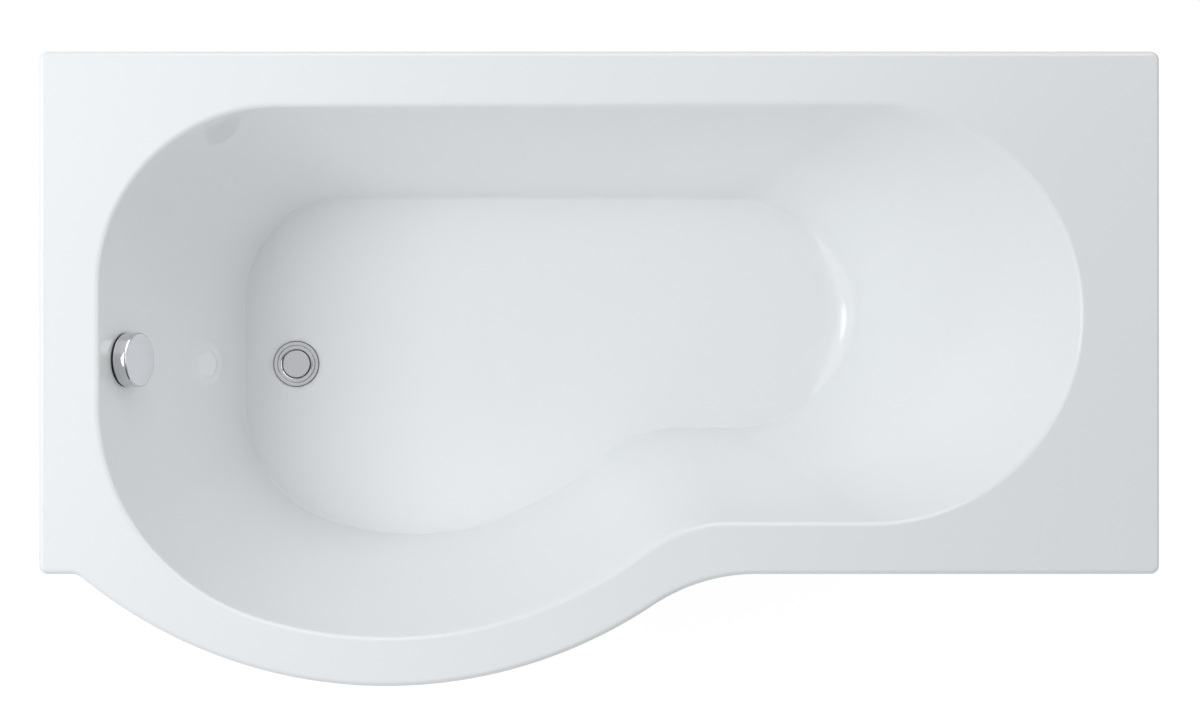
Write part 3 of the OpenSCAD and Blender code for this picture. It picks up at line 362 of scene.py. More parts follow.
# %% [markdown]
# ## Timber
#
# The frame is planed softwood under the straight rims, bent plywood under the bulge, and a
# chipboard base. Softwood's grain is a noise drawn out twenty times along the batten, so battens
# along X and along Y need a material each. Plywood shows its thin plies as level bands, and
# chipboard is cells of several browns. Scanned pictures could do the same, but a procedural
# pattern never repeats and needs no file.

# %% Softwood
GRAIN_STRETCH = 0.05


def softwood(name, along):
    """Planed softwood, its grain running along one axis: 0 for X and 1 for Y."""
    stretch = [1.0, 1.0, 1.0]
    stretch[along] = GRAIN_STRETCH
    material, tree, shader = start_material(name, roughness=0.62)
    grain = texture(tree, "ShaderNodeTexNoise", 55, stretch, Detail=5.0, Distortion=0.6)
    colour = ramp(tree, grain.outputs["Fac"],
                  [(0.25, (0.44, 0.27, 0.13)), (0.45, (0.66, 0.47, 0.26)), (0.75, (0.76, 0.58, 0.36))])
    tree.links.new(colour, shader.inputs["Base Color"])
    pores = texture(tree, "ShaderNodeTexNoise", 420, stretch, Detail=2.0)
    bump(tree, shader, pores.outputs["Fac"], 0.25, 0.4 * MM)
    return material


WOOD_X, WOOD_Y = softwood("softwood_x", 0), softwood("softwood_y", 1)


# %% Plywood and chipboard
def plywood():
    """Birch plywood bent or cut to a curve: thin plies show as bands on its edges."""
    material, tree, shader = start_material("plywood", roughness=0.6)
    plies = texture(tree, "ShaderNodeTexWave", 95, (0.001, 0.001, 1), Distortion=0.3)
    plies.bands_direction = "Z"
    colour = ramp(tree, plies.outputs["Fac"], [(0.2, (0.50, 0.33, 0.17)), (0.6, (0.72, 0.56, 0.36))])
    tree.links.new(colour, shader.inputs["Base Color"])
    pores = texture(tree, "ShaderNodeTexNoise", 300, Detail=2.0)
    bump(tree, shader, pores.outputs["Fac"], 0.2, 0.4 * MM)
    return material


def cells(tree, scale, **sockets):
    """Random cells, each of its own colour: the texture, and its colour's three parts."""
    node = texture(tree, "ShaderNodeTexVoronoi", scale, **sockets)
    split = tree.nodes.new("ShaderNodeSeparateColor")
    tree.links.new(node.outputs["Color"], split.inputs["Color"])
    return node, split.outputs


def chipboard():
    """Pressed wood chips: small flakes of several browns."""
    material, tree, shader = start_material("chipboard", roughness=0.75)
    flakes, parts = cells(tree, 230, stretch=(1, 1, 2.5), Randomness=1.0)
    colour = ramp(tree, parts["Red"],
                  [(0.0, (0.38, 0.25, 0.13)), (0.5, (0.60, 0.44, 0.26)), (1.0, (0.74, 0.60, 0.41))])
    tree.links.new(colour, shader.inputs["Base Color"])
    bump(tree, shader, flakes.outputs["Distance"], 0.35, 0.6 * MM)
    return material


PLYWOOD, CHIPBOARD = plywood(), chipboard()


# %% [markdown]
# ## Metals
#
# The bars, brackets, studs and screws are zinc plated steel: satin, with faint spangles where the
# zinc crystals lie, each with its own tone and gloss. The knob, the waste and the plug are polished
# chrome plate. Chrome has hardly a look of its own. It needs a clean metallic shader with a trace
# of haze, and something worth mirroring, which the room at the end of this lesson gives it.

# %% Zinc and chrome
def zinc_steel():
    """Zinc plated steel: a satin metal with faint spangles."""
    material, tree, shader = start_material("zinc_steel", metallic=1.0)
    _, parts = cells(tree, 160)
    tone = ramp(tree, parts["Red"], [(0, (0.58, 0.60, 0.62)), (1, (0.70, 0.71, 0.72))])
    tree.links.new(tone, shader.inputs["Base Color"])
    tree.links.new(spread(tree, parts["Green"], 0.26, 0.42), shader.inputs["Roughness"])
    grain = texture(tree, "ShaderNodeTexNoise", 900, Detail=2.0)
    bump(tree, shader, grain.outputs["Fac"], 0.08, 0.2 * MM)
    return material


def chrome():
    """Polished chrome plate, with the faintest haze."""
    material, tree, shader = start_material("chrome", metallic=1.0)
    shader.inputs["Base Color"].default_value = (0.68, 0.685, 0.70, 1)
    haze = texture(tree, "ShaderNodeTexNoise", 90, Detail=4.0)
    tree.links.new(spread(tree, haze.outputs["Fac"], 0.02, 0.06), shader.inputs["Roughness"])
    return material


ZINC, CHROME = zinc_steel(), chrome()

# %% [markdown]
# ## Plastics and rubber
#
# The feet and the hose are grey plastic, the waste's and the overflow's bodies white, and the
# seals and the cable's sheath black rubber. All of them come out of a mould, so they share one
# recipe: a fine even texture, and patches that differ slightly in colour and gloss.

# %% Moulded finishes
def moulded(name, colour, roughness):
    """Moulded plastic or rubber."""
    material, tree, shader = start_material(name)
    patch = texture(tree, "ShaderNodeTexNoise", 30, Detail=2.0).outputs["Fac"]
    darker = tuple(0.93 * c for c in colour)
    tree.links.new(ramp(tree, patch, [(0.3, darker), (0.7, colour)]), shader.inputs["Base Color"])
    tree.links.new(spread(tree, patch, roughness - 0.05, roughness + 0.07), shader.inputs["Roughness"])
    grain = texture(tree, "ShaderNodeTexNoise", 1200, Detail=1.0)
    bump(tree, shader, grain.outputs["Fac"], 0.12, 0.15 * MM)
    return material


GREY_PLASTIC = moulded("grey_plastic", (0.30, 0.31, 0.32), 0.45)
WHITE_PLASTIC = moulded("white_plastic", (0.82, 0.82, 0.80), 0.38)
RUBBER = moulded("rubber", (0.035, 0.035, 0.038), 0.7)

# %% [markdown]
# ## The outline of the bath
#
# The shell is one sheet, formed over a mould. Its section changes all the way round: nearly
# upright at the head, a long slope at the foot, a wide bulge for the shower. A subdivided cage
# would only come near that shape, so the shell is lofted instead. Three outlines with the same
# runs of arcs and straights steer it: the rim's edge, the opening and the floor's corner.

# %% Sizes of the basin
edge_x, edge_y, rim_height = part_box("bath_shell")[1]
waste = (sum(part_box("plug_cap"), Vector()) / 2).xy
seat_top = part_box("waste_washer")[0].z

# the flat rim's width on each side, and how far the wall runs in from there to the floor's corner
head_rim, foot_rim, back_rim, front_rim, bulge_rim = 0.081, 0.105, 0.074, 0.070, 0.066
head_run, foot_run, back_run, front_run, bulge_run = 0.122, 0.263, 0.089, 0.113, 0.104

# the outer edge: its width at the foot end, and the radii of its turns
narrow_width = 0.700
corner_r, notch_r, neck_edge_r, bulge_edge_r = 0.012, 0.025, 0.250, 0.645
edge_front = edge_y - narrow_width
bulge_centre = np.array([-0.285, bulge_edge_r - edge_y])

# radii of the opening's turns and of the floor's
basin_back_r, basin_front_r, basin_neck_r = 0.240, 0.300, 0.185
floor_back_r, floor_front_r, floor_bulge_r, floor_neck_r = 0.165, 0.190, 0.415, 0.180

# points in each run of an outline
RUNS = {"corner": 40, "head": 24, "turn": 39, "bulge_head": 32, "bulge_neck": 36,
        "neck": 36, "front": 16, "foot": 96, "back": 56}
print(f"rim {2 * edge_x:.3f} x {2 * edge_y:.3f} m, {rim_height:.3f} m up")


# %% Arcs and straights
def way(v):
    """The direction of a vector, in degrees from 0 to 360."""
    return math.degrees(math.atan2(v[1], v[0])) % 360


def arc(centre, radius, start, end, count):
    """Points (x, y, heading) round an arc, without its last one."""
    angle = start + (end - start) * np.arange(count) / count
    x = centre[0] + radius * np.cos(np.radians(angle))
    y = centre[1] + radius * np.sin(np.radians(angle))
    return np.column_stack((x, y, angle + (90 if end > start else -90)))


def straight(p, q, count):
    """Points (x, y, heading) along a line, without its last one."""
    p, q = np.array(p), np.array(q)
    line = p + (q - p) * np.arange(count)[:, None] / count
    return np.column_stack((line, np.full(count, way(q - p))))


# %% The basin's outline
def basin_outline(sides, radii):
    """The P shape of the basin, anticlockwise from the end of its back line. Its sides are where it
    ends at the head, foot, back, front and bulge."""
    head, foot, back, front, lowest = sides
    r_back, r_front, r_bulge, r_neck = radii
    c_back = np.array([head + r_back, back - r_back])
    c_bulge = np.array([bulge_centre[0], lowest + r_bulge])
    dx = head + r_front - c_bulge[0]
    c_front = c_bulge + [dx, -math.sqrt((r_bulge - r_front) ** 2 - dx**2)]
    drop = front - r_neck - c_bulge[1]
    c_neck = np.array([c_bulge[0] + math.sqrt((r_bulge + r_neck) ** 2 - drop**2), front - r_neck])
    a_front, a_neck = way(c_front - c_bulge), way(c_neck - c_bulge)
    r_foot = (back - front) / 2
    c_foot = np.array([foot - r_foot, (back + front) / 2])
    return np.concatenate((
        arc(c_back, r_back, 90, 180, RUNS["corner"]),
        straight((head, c_back[1]), (head, c_front[1]), RUNS["head"]),
        arc(c_front, r_front, 180, a_front, RUNS["turn"]),
        arc(c_bulge, r_bulge, a_front, 270, RUNS["bulge_head"]),
        arc(c_bulge, r_bulge, 270, a_neck, RUNS["bulge_neck"]),
        arc(c_neck, r_neck, a_neck - 180, 90, RUNS["neck"]),
        straight((c_neck[0], front), (c_foot[0], front), RUNS["front"]),
        arc(c_foot, r_foot, 270, 450, RUNS["foot"]),
        straight((c_foot[0], back), (c_back[0], back), RUNS["back"])))


opening_sides = np.array([head_rim - edge_x, edge_x - foot_rim, edge_y - back_rim,
                          edge_front + front_rim, bulge_rim - edge_y])
opening = basin_outline(opening_sides,
                        (basin_back_r, basin_front_r, bulge_edge_r - bulge_rim, basin_neck_r))
corner = basin_outline(opening_sides + [head_run, -foot_run, -back_run, front_run, bulge_run],
                       (floor_back_r, floor_front_r, floor_bulge_r, floor_neck_r))
print("points round the bath", len(opening))


# %% The rim's outer edge
def hollow_centre(radius, side):
    """Centre of a curve that touches the narrow front edge and, from outside, the bulge's circle."""
    level = edge_front - radius
    drop = level - bulge_centre[1]
    reach = math.sqrt((bulge_edge_r + radius) ** 2 - drop**2)
    return np.array([bulge_centre[0] + side * reach, level])


def edge_outline(inset):
    """The outer edge drawn in by an inset, with the basin's runs: square corners and a bulge."""
    turn, foot = RUNS["turn"] // 3, RUNS["foot"] // 4
    x, front, back, r = edge_x - inset, edge_front + inset, edge_y - inset, corner_r - inset
    corner_x, corner_back, corner_front = edge_x - corner_r, edge_y - corner_r, edge_front + corner_r
    notch, neck = hollow_centre(notch_r, -1), hollow_centre(neck_edge_r, 1)
    a_notch, a_neck = way(notch - bulge_centre), way(neck - bulge_centre)
    return np.concatenate((
        arc((-corner_x, corner_back), r, 90, 180, RUNS["corner"]),
        straight((-x, corner_back), (-x, corner_front), RUNS["head"]),
        arc((-corner_x, corner_front), r, 180, 270, turn),
        straight((-corner_x, front), (notch[0], front), turn),
        arc(notch, notch_r + inset, 90, a_notch - 180, turn),
        arc(bulge_centre, bulge_edge_r - inset, a_notch, 270, RUNS["bulge_head"]),
        arc(bulge_centre, bulge_edge_r - inset, 270, a_neck, RUNS["bulge_neck"]),
        arc(neck, neck_edge_r + inset, a_neck - 180, 90, RUNS["neck"]),
        straight((neck[0], front), (corner_x, front), RUNS["front"]),
        arc((corner_x, corner_front), r, 270, 360, foot),
        straight((x, corner_front), (x, corner_back), 2 * foot),
        arc((corner_x, corner_back), r, 0, 90, foot),
        straight((corner_x, back), (-corner_x, back), RUNS["back"])))


print("points round its edge", len(edge_outline(0)))

# %% [markdown]
# ## The wall's section
#
# Point by point, a straight wall joins the opening to the floor's corner, with a roll at its top
# and a fillet at its foot, both square to their own outline. A roll or fillet of radius r between
# two faces that meet at an angle takes up r times the tangent of half that angle on each of them.
# That one number, called share below, places both arcs, and moving the whole section out by t
# gives the sheet's outer face or the backing's. The floor ends in a crisp crease, which swells
# into a wide curve where the backrest rises, and it falls a little towards the waste.

# %% Rings on an outline
shell_wall = 5 * MM
edge_roll = basin_roll = 8 * MM
crease_r, backrest_r = 6 * MM, 70 * MM
SWELL_FROM = 0.6  # sine of the heading at which the crease starts to swell
FLOOR_FALL = 120  # metres out from the waste for each metre up
recess_r, recess_depth = 42.5 * MM, 4 * MM
floor_top = seat_top + recess_depth


def eased(s):
    """A smooth step from 0 to 1."""
    return s * s * (3 - 2 * s)


def level_ring(outline, z):
    """An outline's points at one height."""
    return np.column_stack((outline[:, :2], np.full(len(outline), z)))


def inward(outline):
    """Directions square to an outline, into the basin."""
    heading = np.radians(outline[:, 2])
    return np.column_stack((-np.sin(heading), np.cos(heading)))


def between(a, b, count):
    """Rings between two rings, leaving both out."""
    return [a + (b - a) * k / count for k in range(1, count)]


# %% Rings of the basin's wall
def floor_level(xy):
    """The floor falls gently towards the waste from every side."""
    return floor_top + (np.linalg.norm(xy - np.array(waste), axis=1) - recess_r) / FLOOR_FALL


def foot_radius(outline):
    """Radius at the foot of the wall, swelling in the turn round the floor's foot end."""
    s = np.clip((np.sin(np.radians(outline[:, 2])) - SWELL_FROM) / (1 - SWELL_FROM), 0, 1)
    return crease_r + (backrest_r - crease_r) * eased(s)


def basin_wall(t, roll_steps=8, wall_steps=20, fillet_steps=14):
    """Rings from the rim down to the floor, for the face that lies t outside the basin's own."""
    into_o, into_f = inward(opening), inward(corner)
    o, f = opening[:, :2], corner[:, :2]
    level = floor_level(f)
    run = np.sum((f - o) * into_f, axis=1)
    share = np.tan(np.arctan2(rim_height - level, run) / 2)
    lean = 2 * np.arctan(share)
    r_top, r_low = max(basin_roll - t, MM), foot_radius(corner) + t

    def roll(a):
        xy = o - into_o * (t * share + r_top * (share - np.sin(a)))[:, None]
        return np.column_stack((xy, rim_height - t - r_top * (1 - np.cos(a))))

    def fillet(a):
        xy = f - into_f * (t * share - r_low * (share - np.sin(a)))[:, None]
        return np.column_stack((xy, level - t + r_low * (1 - np.cos(a))))

    top, low = roll(lean), fillet(lean)
    rings = [roll(lean * k / roll_steps) for k in range(roll_steps + 1)]
    rings += between(top, low, wall_steps)
    rings += [fillet(lean * k / fillet_steps) for k in range(fillet_steps, -1, -1)]
    return rings


# %% Rings round the waste
FLOOR_STEPS = 16  # over the floor, from its corner to the recess
UNDER_SPREAD = 0.4  # how far out the recess's underside stands, as a share of the depth below its face
shell_hole_r, flange_r = 26 * MM, 35 * MM
ledge_drop = 1.8 * MM  # of the sheet beside the waste's flange


def waste_ring(ring, radius, z):
    """A round ring about the waste whose points face those of another ring, evenly enough."""
    n = len(ring)
    angles = np.degrees(np.arctan2(ring[:, 1] - waste[1], ring[:, 0] - waste[0])) % 360
    turn = np.radians(angles[0] + ((angles - angles[0]) % 360 + 360 * np.arange(n) / n) / 2)
    return np.column_stack((waste[0] + radius * np.cos(turn), waste[1] + radius * np.sin(turn),
                            np.full(n, z)))


def recess(ring, t, steps=8):
    """Rings from the waste hole's flat seat, up close round the flange, then eased up to the floor."""
    seat_edge, riser_top = flange_r - 0.8 * MM, flange_r + 0.4 * MM
    reach, rise = recess_r + MM - riser_top, recess_depth - ledge_drop
    rings = [waste_ring(ring, r, seat_top - t) for r in (shell_hole_r, shell_hole_r + MM, seat_edge)]
    for s in np.linspace(0, 1, steps + 1):
        level = seat_top - t + rise + ledge_drop * (s + eased(s)) / 2
        rings.append(waste_ring(ring, riser_top + reach * s + UNDER_SPREAD * t, level))
    return rings


print("rings down the wall", len(basin_wall(0)), "and in the recess", len(recess(corner, 0)))

# %% [markdown]
# ## The acrylic shell
#
# The rings run in one closed loop: from the waste hole out over the floor, up the wall, across
# the rim, round its edge and lip, then back along the sheet's outer face. Solidify could give the
# sheet its thickness, but it would pinch in the tight rolls, so both faces are lofted. A ring two
# millimetres from each roll keeps the flat rim flat in its shading.

# %% Rings of the rim
lip_height, flat_margin, lip_round = 25 * MM, 2 * MM, 1.2 * MM
RIM_SHARES = (0.15, 0.5, 0.85)  # where the rim's inner rings lie, from the opening to the edge


def across_rim(rim_in):
    """Rings over the flat rim, the first and the last close to a roll."""
    rim_out = level_ring(edge_outline(edge_roll), rim_height)
    margin = flat_margin / np.linalg.norm(rim_out - rim_in, axis=1)[:, None]
    return [rim_in + (rim_out - rim_in) * s for s in (margin, *RIM_SHARES, 1 - margin)]


def edge_and_lip(steps=8):
    """Rings round the edge, down the lip, round its foot and up inside to the rim's underside."""
    rings = []
    for a in np.linspace(0, math.pi / 2, steps + 1):
        inset, drop = edge_roll * (1 - math.sin(a)), edge_roll * (1 - math.cos(a))
        rings.append(level_ring(edge_outline(inset), rim_height - drop))
    lip_low, near = rim_height - lip_height, 0.3 * lip_round
    section = [(0, 6 * lip_round), (0, lip_round), (near, near), (lip_round, 0), (shell_wall - lip_round, 0),
               (shell_wall - near, near), (shell_wall, lip_round)]
    rings += [level_ring(edge_outline(inset), lip_low + up) for inset, up in section]
    return rings + [level_ring(edge_outline(shell_wall), rim_height - shell_wall)]


def shell_rings():
    """All rings of the shell, in one closed loop."""
    face, under = basin_wall(0)[::-1], basin_wall(shell_wall)
    seat, seat_under = recess(face[0], 0), recess(face[0], shell_wall)
    rim = across_rim(face[-1]) + edge_and_lip()
    return (seat + between(seat[-1], face[0], FLOOR_STEPS) + face + rim + between(rim[-1], under[0], 3)
            + under + between(under[-1], seat_under[-1], FLOOR_STEPS) + seat_under[::-1])


# %% [markdown]
# ## The hole for the overflow
#
# The overflow's hole is drilled in the formed sheet, square to the head wall. The grid of the loft
# doesn't follow that circle, so an exact boolean takes a rod away from it, which leaves a clean
# round edge. The joint that turns the knob says where the hole is and which way it faces.

# %% Booleans
joints = {j["name"]: j for j in frame["joints"]}
overflow_axis = Vector(joints["knob_turn"]["axis"]).normalized()
overflow_centre = Vector(joints["knob_turn"]["pos_m"])
lean_back = math.atan2(overflow_axis.x, overflow_axis.z)  # of the overflow's axis from upright
at_overflow = Matrix.Translation(overflow_centre) @ Matrix.Rotation(lean_back, 4, "Y")
at_waste = Matrix.Translation((*waste, 0))
drill_length = 40 * MM


def combined(mesh, tool, operation):
    """A mesh less another one (DIFFERENCE), or only what both share (INTERSECT)."""
    work, other = object_with("work", mesh), object_with("tool", tool)
    boolean = work.modifiers.new("boolean", "BOOLEAN")
    boolean.operation, boolean.solver, boolean.object = operation, "EXACT", other
    made = plain_mesh(work)
    bpy.data.objects.remove(other)
    return made


def drilled(mesh):
    """A sheet's mesh with the overflow's round hole through it."""
    half = drill_length / 2
    section = [(0, -half), (shell_hole_r, -half), (shell_hole_r, half), (0, half)]
    rod = spun(section, at_overflow, segments=96)
    return combined(mesh, rod, "DIFFERENCE")


print(f"the overflow's axis leans {math.degrees(lean_back):.1f} degrees from upright")

# %% Loft the shell
SHEET_ANGLE = 42

shell_mesh = drilled(mesh_of(*skin(shell_rings(), tube=True)))
shade(shell_mesh, SHEET_ANGLE)
add_piece("acrylic_shell", shell_mesh, "bath", ACRYLIC, ["bath_shell"])

# %% [markdown]
# ## The glass fibre backing
#
# Chopped glass and resin are sprayed over the back of the sheet. The layer is never even, so its
# outer face is moved in and out by up to half a millimetre of noise, while the inner face keeps
# to the sheet. A Displace modifier would move both faces, and the rings are at hand anyway. The
# floor's backing is carried down flat onto the baseboard.

# %% Uneven rings
LUMPS = ((45, 1.0), (120, 0.6))  # how often in a metre, and how strongly
lump_size = 0.5 * MM


def uneven(rings, outwards):
    """Rings moved square to the wall by smooth noise, least near the first and the last."""
    made = []
    for k, ring in enumerate(rings):
        fade = min(1, k / 3, (len(rings) - 1 - k) / 3)
        shift = [sum(share * noise.noise(Vector(p) * often) for often, share in LUMPS) for p in ring]
        made.append(ring + outwards * (lump_size * fade * np.array(shift))[:, None])
    return made


# %% Loft the backing
bond_gap, backing_wall, backing_flange = 0.2 * MM, 3 * MM, 8 * MM
backing_in = shell_wall + bond_gap
backing_out = backing_in + backing_wall
board_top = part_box("baseboard")[1].z
boss_r, boss_bottom = recess_r + 2.5 * MM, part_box("waste_gasket")[1].z
BACKING_STEPS = 12


def backing_rings():
    """All rings of the backing, in one closed loop, from the seat of the waste and back to it."""
    inner = basin_wall(backing_in, roll_steps=4, fillet_steps=8)[::-1]
    outer = basin_wall(backing_out, roll_steps=4, wall_steps=34, fillet_steps=10)
    seat = recess(inner[0], backing_in)
    outwards = np.column_stack((-inward(opening), np.zeros(len(opening))))

    def flange(z):
        return level_ring(outer[0], z) + outwards * backing_flange

    wall = uneven(outer, outwards)
    foot = wall[-1].copy()
    foot[:, 2] = board_top
    boss = [waste_ring(inner[0], r, z) for r, z in (
        (boss_r + backing_wall, board_top), (boss_r, boss_bottom),
        (shell_hole_r + MM, boss_bottom), (shell_hole_r, boss_bottom))]
    return (seat + between(seat[-1], inner[0], BACKING_STEPS) + inner
            + [flange(rim_height - backing_in), flange(rim_height - backing_out)] + wall + [foot]
            + between(foot, boss[0], BACKING_STEPS) + boss)


backing_mesh = drilled(mesh_of(*skin(backing_rings(), tube=True)))
shade(backing_mesh, SHEET_ANGLE)
add_piece("glass_fibre_backing", backing_mesh, "bath", LAMINATE, ["grp_backing"])

# %% [markdown]
# ## The knob
#
# The real knob is a thick chromed disc, hollow at the back, with a well rounded edge and a face
# that isn't quite flat. Polished metal shows only what it reflects, and every change of slope
# shows as a line in the reflection. A bevelled cylinder would mirror the room as one even patch
# on its flat face. So the section is drawn, with a real radius at the edge, a shallow dome over
# the face and plenty of steps, and is spun round the overflow's axis.

# %% Knob
knob_r, knob_depth, knob_gap = 37.5 * MM, 21 * MM, 3.5 * MM
KNOB_STEPS = 20


def knob_profile():
    """The knob's section, from its hollow back round the skirt and the edge to its face's middle."""
    top, ceiling = knob_gap + knob_depth, knob_gap + knob_depth - 5 * MM
    edge, crown, skirt, chamfer = 3.6 * MM, 0.7 * MM, 3 * MM, 0.8 * MM
    back = rounded([(0, ceiling), (knob_r - 7 * MM, ceiling), (knob_r - skirt, ceiling - 4 * MM),
                    (knob_r - skirt, knob_gap), (knob_r - chamfer, knob_gap), (knob_r, knob_gap + chamfer)],
                   0.5 * MM)
    rounding = [(knob_r - edge + edge * math.cos(a), top - crown - edge + edge * math.sin(a))
                for a in np.linspace(0, math.radians(88), KNOB_STEPS + 1)]
    dome_r, dome_z = rounding[-1]
    dome = [(dome_r * (1 - s), dome_z + (top - dome_z) * (1 - (1 - s) ** 2))
            for s in np.arange(1, KNOB_STEPS + 1) / KNOB_STEPS]
    return back + rounding + dome


knob_mesh = spun(knob_profile(), at_overflow, segments=192)
add_piece("control_knob", knob_mesh, "knob", CHROME, ["overflow_knob"])

# %% [markdown]
# ## The dark ring behind the knob
#
# A dark line of shade shows in the gap between the knob and the wall. A black rubber ring, of the kind
# that sits round such an overflow's plate, is added there: partly a real seal, partly painted shade.

# %% Rubber ring, painted shade in the gap behind the knob
plate_r, ring_r, ring_low = 33 * MM, 36.8 * MM, 0.1 * MM
ring_in = plate_r + 0.2 * MM
# A black ring, partly a real seal and partly painted shade for the dark gap behind the knob.
shade_ring_profile = rounded([(ring_in, ring_low), (ring_r, ring_low), (ring_r, 1.5 * MM), (ring_in, 2.2 * MM)],
                       0.4 * MM)
add_piece("overflow_ring", spun(shade_ring_profile, at_overflow), "bath", RUBBER)

# %% [markdown]
# ## The waste's flange and its seal
#
# The waste is a chromed ring screwed down on the floor, flush with it, with a fine groove turned
# in its face, a dished middle for the plug and a threaded spigot below. A black lip of its rubber
# seal rings its edge, partly a real seal and partly painted shade for the dark gap line there.
# All of it is turned work, so it is drawn as profiles and spun.

# %% Waste flange
groove_r, groove_half, groove_deep = 28.7 * MM, 0.8 * MM, 1.8 * MM
throat_r, thread_r, dish_r = 20.5 * MM, 23.9 * MM, 22.3 * MM
band_r = 34.2 * MM  # the chromed ring's edge, with the seal's lip outside it
washer_top, spigot_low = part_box("waste_washer")[1].z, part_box("waste_flange")[0].z
dish_low = floor_top - 3.6 * MM

groove = [(groove_r + groove_half, floor_top), (groove_r, floor_top - groove_deep),
          (groove_r - groove_half, floor_top - 0.2 * MM)]
dish = [(dish_r + 1.4 * MM, floor_top - 0.5 * MM), (dish_r, floor_top - 1.3 * MM),
        (dish_r - 0.2 * MM, dish_low), (throat_r, dish_low)]
spigot = [(throat_r, spigot_low), (thread_r, spigot_low), (thread_r, seat_top - MM),
          (shell_hole_r + MM, washer_top), (band_r, washer_top), (band_r, floor_top)]
flange_profile = rounded(spigot + groove + dish, 0.4 * MM)
flange_mesh = spun(flange_profile, at_waste, segments=160)
add_piece("waste_ring", flange_mesh, "bath", CHROME, ["waste_flange"])

# %% The seal's lip, painted shade round the flange
seal_in = band_r + 0.05 * MM
# A black ring, partly a real seal and partly painted shade for the dark line round the flange.
shade_seal_profile = rounded([(seal_in, washer_top), (flange_r, washer_top), (flange_r, floor_top - 0.5 * MM),
                        (seal_in, floor_top - 0.3 * MM)], 0.3 * MM)
add_piece("waste_seal_lip", spun(shade_seal_profile, at_waste), "bath", RUBBER)

# %% [markdown]
# ## The plug
#
# The plug is a chromed cap on a stem. It closes on a rubber lip, partly a real seal and partly
# painted shade: its black edge paints the thin dark circle of shade between the cap and the flange.
# Cap and lip are two profiles on the plug's own body, so both rise together when the knob lifts it.

# %% Plug and its lip, whose black edge is painted shade
plug_r, plug_lip_r, stem_r = 20.8 * MM, 21.4 * MM, 3 * MM
cap_low, cap_top = dish_low + 1.2 * MM, floor_top - 0.2 * MM
lip_in, stem_socket_r = plug_r + 0.05 * MM, stem_r + 0.05 * MM
socket_low, collar_r = cap_low - 7.4 * MM, stem_r + 3 * MM

# The lip's black edge is partly a real seal and partly painted shade for the dark gap round the cap.
shade_lip_profile = rounded([
    (plug_r - MM, cap_low - MM), (plug_lip_r, cap_low), (plug_lip_r, cap_top - 0.9 * MM),
    (lip_in, cap_top - 0.5 * MM), (lip_in, cap_low), (plug_r - MM, cap_low - 0.05 * MM)], 0.3 * MM)
add_piece("plug_lip", spun(shade_lip_profile, at_waste), "plug", RUBBER)

cap_profile = rounded([
    (0, cap_low - 2 * MM), (stem_socket_r, cap_low - 2 * MM), (stem_socket_r, socket_low),
    (collar_r, socket_low), (collar_r, cap_low), (plug_r, cap_low), (plug_r, cap_top), (0, cap_top)],
    0.7 * MM)
add_piece("plug", spun(cap_profile, at_waste, segments=160), "plug", CHROME, ["plug_cap"])

# %% [markdown]
# ## Timber, steel and mouldings
#
# The battens, bars, brackets and plastic bodies have their right shape already, but their edges are
# perfectly sharp, which no sawn, folded or moulded edge is. Each is copied, its edges are rounded
# by as much as such a piece has, with a Bevel modifier, and it gets its finish.

# %% Round the edges of a CAD node
CAD_SAME_POINT, FLAT_ANGLE = 2e-6, 0.5
BEVEL_SEGMENTS, BEVEL_ANGLE = 2, 32


def softened(node, width):
    """A copy of a CAD node's mesh, merged, with its sharp edges rounded over."""
    mesh = frame["nodes"][node].data.copy()
    bm = bmesh.new()
    bm.from_mesh(mesh)
    bmesh.ops.remove_doubles(bm, verts=bm.verts, dist=CAD_SAME_POINT)
    bmesh.ops.dissolve_limit(bm, angle_limit=math.radians(FLAT_ANGLE), verts=bm.verts, edges=bm.edges)
    bm.to_mesh(mesh)
    bm.free()
    rough = object_with("rough", mesh)
    bevel = rough.modifiers.new("edges", "BEVEL")
    bevel.width = width
    bevel.segments = BEVEL_SEGMENTS
    bevel.limit_method = "ANGLE"
    bevel.angle_limit = math.radians(BEVEL_ANGLE)
    made = plain_mesh(rough)
    shade(made)
    return made


# %% Finish the frame and the mouldings
SOFT_PIECES = [
    ("timber", CHIPBOARD, 0.6 * MM, ["baseboard"]),
    ("timber", WOOD_X, 1.2 * MM, ["batten_back", "batten_front"]),
    ("timber", WOOD_Y, 1.2 * MM, ["batten_head", "batten_foot"]),
    ("timber", PLYWOOD, 0.8 * MM, ["batten_bulge"]),
    ("zinc_steel", ZINC, 0.5 * MM, ["crossbar_head", "crossbar_foot", "middle_leg_bracket"]),
    ("zinc_steel", ZINC, 0.4 * MM, ["wall_bracket_left", "wall_bracket_right"]),
    ("white_plastic", WHITE_PLASTIC, 0.5 * MM, ["waste_body", "overflow_body", "hose_nuts"]),
    ("white_plastic", WHITE_PLASTIC, 0.3 * MM, ["cable_clip"]),
    ("chrome", CHROME, 0.4 * MM, ["overflow_plate"]),
    ("zinc_steel", ZINC, 0.3 * MM, ["lift_lever"]),
]
bodies = frame["record"]["behaviour"]["bodies"]
body_of = {node: body for body, nodes in bodies.items() for node in nodes}
for slot, material, width, nodes in SOFT_PIECES:
    for node in nodes:
        add_piece(f"{node}_finished", softened(node, width), body_of[node], material, [node])

# %% [markdown]
# ## Geometry Nodes from a script
#
# What repeats, or follows a path, is made by Geometry Nodes, because one rule then makes every
# copy. A tree is built once, with named inputs for its sizes, and is run on a mesh through a
# modifier. The modifier stores its inputs under each socket's identifier, not its name, so the
# name is looked up in the tree's interface. The result is copied out as a plain mesh: the tree
# ends in Realize Instances and Set Material, so nothing is left in it that an export would drop.

